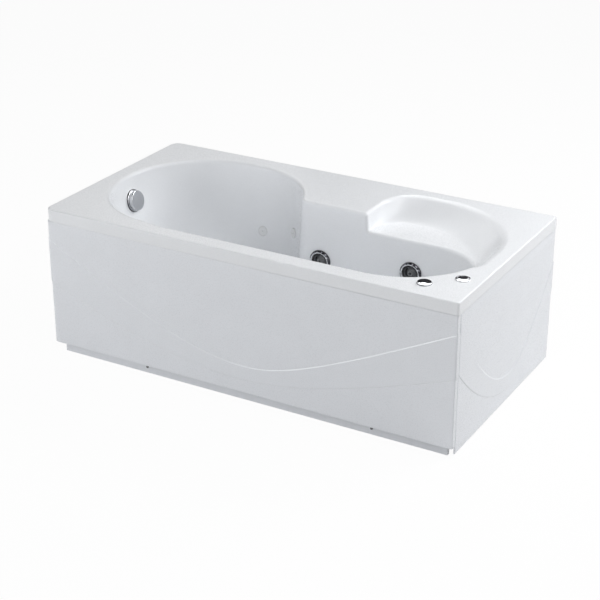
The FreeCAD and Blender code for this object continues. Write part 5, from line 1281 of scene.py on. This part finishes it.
def seen_directly(tree):
    """1 for rays from the camera, and for what metal and glass show of the background."""
    path = tree.nodes.new("ShaderNodeLightPath")
    rays = path.outputs["Is Camera Ray"]
    for other in ("Is Glossy Ray", "Is Transmission Ray"):
        most = tree.nodes.new("ShaderNodeMath")
        most.operation = "MAXIMUM"
        tree.links.new(rays, most.inputs[0])
        tree.links.new(path.outputs[other], most.inputs[1])
        rays = most.outputs["Value"]
    return rays


def sheet(name, corners):
    """Flat four-cornered object of the stage."""
    mesh = bpy.data.meshes.new(name)
    mesh.from_pydata(corners, [], [(0, 1, 2, 3)])
    made = bpy.data.objects.new(name, mesh)
    bpy.context.scene.collection.objects.link(made)
    return made


def add_floor():
    """White floor, a little shaded under the tub."""
    half = FLOOR_HALF
    floor = sheet("floor", [(-half, -half, 0), (half, -half, 0), (half, half, 0), (-half, half, 0)])
    material = bpy.data.materials.new("pale_floor")
    material.use_nodes = True
    tree = material.node_tree
    tree.nodes.remove(tree.nodes["Principled BSDF"])
    lit = tree.nodes.new("ShaderNodeBsdfDiffuse")
    lit.inputs["Color"].default_value = FLOOR_COLOUR
    white = tree.nodes.new("ShaderNodeEmission")
    white.inputs["Color"].default_value = WHITE
    white.inputs["Strength"].default_value = 1.0
    share = tree.nodes.new("ShaderNodeMath")
    share.operation = "MULTIPLY"
    share.inputs[1].default_value = FLOOR_WHITENESS
    tree.links.new(seen_directly(tree), share.inputs[0])
    mix = tree.nodes.new("ShaderNodeMixShader")
    tree.links.new(share.outputs["Value"], mix.inputs["Fac"])
    tree.links.new(lit.outputs["BSDF"], mix.inputs[1])
    tree.links.new(white.outputs["Emission"], mix.inputs[2])
    tree.links.new(mix.outputs["Shader"], tree.nodes["Material Output"].inputs["Surface"])
    floor.data.materials.append(material)


def add_lamp(name, location, target, width, height, power):
    """Flat lamp that faces a point."""
    data = bpy.data.lights.new(name, "AREA")
    data.shape = "RECTANGLE"
    data.size = width
    data.size_y = height
    data.energy = power
    lamp = bpy.data.objects.new(name, data)
    aim = Vector(target) - Vector(location)
    turn = aim.to_track_quat("-Z", "Y").to_matrix().to_4x4()
    lamp.matrix_world = Matrix.Translation(Vector(location)) @ turn
    bpy.context.scene.collection.objects.link(lamp)


def add_world():
    """Faint sky on the object, and plain white where it is seen directly."""
    world = bpy.data.worlds.new("studio")
    bpy.context.scene.world = world
    world.use_nodes = True
    tree = world.node_tree
    soft = tree.nodes["Background"]
    soft.inputs["Color"].default_value = SKY_COLOUR
    soft.inputs["Strength"].default_value = SKY_STRENGTH
    white = tree.nodes.new("ShaderNodeBackground")
    white.inputs["Color"].default_value = WHITE
    mix = tree.nodes.new("ShaderNodeMixShader")
    tree.links.new(seen_directly(tree), mix.inputs["Fac"])
    tree.links.new(soft.outputs["Background"], mix.inputs[1])
    tree.links.new(white.outputs["Background"], mix.inputs[2])
    tree.links.new(mix.outputs["Shader"], tree.nodes["World Output"].inputs["Surface"])


def add_card(name, corners):
    """Dark card outside the picture, which gives the metal something to show."""
    card = sheet(name, corners)
    material, _, _ = shader(name + "_black", CARD_COLOUR, CARD_ROUGHNESS)
    card.data.materials.append(material)
    card.visible_camera = False
    card.visible_diffuse = False
    card.visible_shadow = False


def upright(start, stop, low, high):
    """Corners of an upright card between two plan points."""
    return [(*start, low), (*stop, low), (*stop, high), (*start, high)]


def back_card(name, left, right, low, high):
    """Upright card behind the tub."""
    add_card(name, upright((left, BACK_PLANE), (right, BACK_PLANE), low, high))


add_camera()
add_floor()
add_world()

TUB_MIDDLE = (0, 0, 0.35)
DECK_END = (0.6, 0, 0.35)
add_lamp("right_back", (2.4, 2.4, 2.4), TUB_MIDDLE, 1.8, 1.8, 78)
add_lamp("right_high", (1.5, 0.0, 2.2), DECK_END, 1.0, 1.0, 12)
add_lamp("right_front", (2.0, -2.0, 3.0), TUB_MIDDLE, 1.8, 1.8, 38)
add_lamp("front_left", (-3.0, -3.2, 1.6), TUB_MIDDLE, 2.2, 1.8, 62)
add_lamp("front_low", (-1.0, -3.8, 0.7), TUB_MIDDLE, 2.2, 1.0, 13)
add_lamp("left_back", (-2.6, 1.8, 2.6), TUB_MIDDLE, 1.8, 1.8, 8)
add_lamp("overhead", (0, 0, 3.4), TUB_MIDDLE, 2.4, 1.8, 3)
add_lamp("back_high", (-0.6, 2.6, 3.7), TUB_MIDDLE, 2.0, 1.6, 38)

back_card("back_card", -SIDE_PLANE, SIDE_PLANE, CARD_LOW, CARD_TOP)
back_card("control_card", -1.8, -0.1, CARD_TOP, 3.3)
back_card("high_left_card", -SIDE_PLANE, -1.7, 2.8, 4.4)
back_card("high_right_card", 0.3, 2.2, 2.8, 4.4)
add_card("left_card", upright((-SIDE_PLANE, -0.5), (-SIDE_PLANE, BACK_PLANE), CARD_LOW, CARD_TOP))
add_card("right_card", upright((SIDE_PLANE, BACK_PLANE), (SIDE_PLANE, 0.5), CARD_LOW, CARD_TOP))
add_card("front_card", [(-3.6, -3.4, 2.6), (0.6, -3.4, 2.6), (0.6, -1.4, 3.0), (-3.6, -1.4, 3.0)])
add_card("ceiling_card", [(-2.6, -1.4, 3.05), (2.0, -1.4, 3.05), (2.0, 0.8, 3.05), (-2.6, 0.8, 3.05)])
bpy.context.scene.view_settings.view_transform = "Standard"
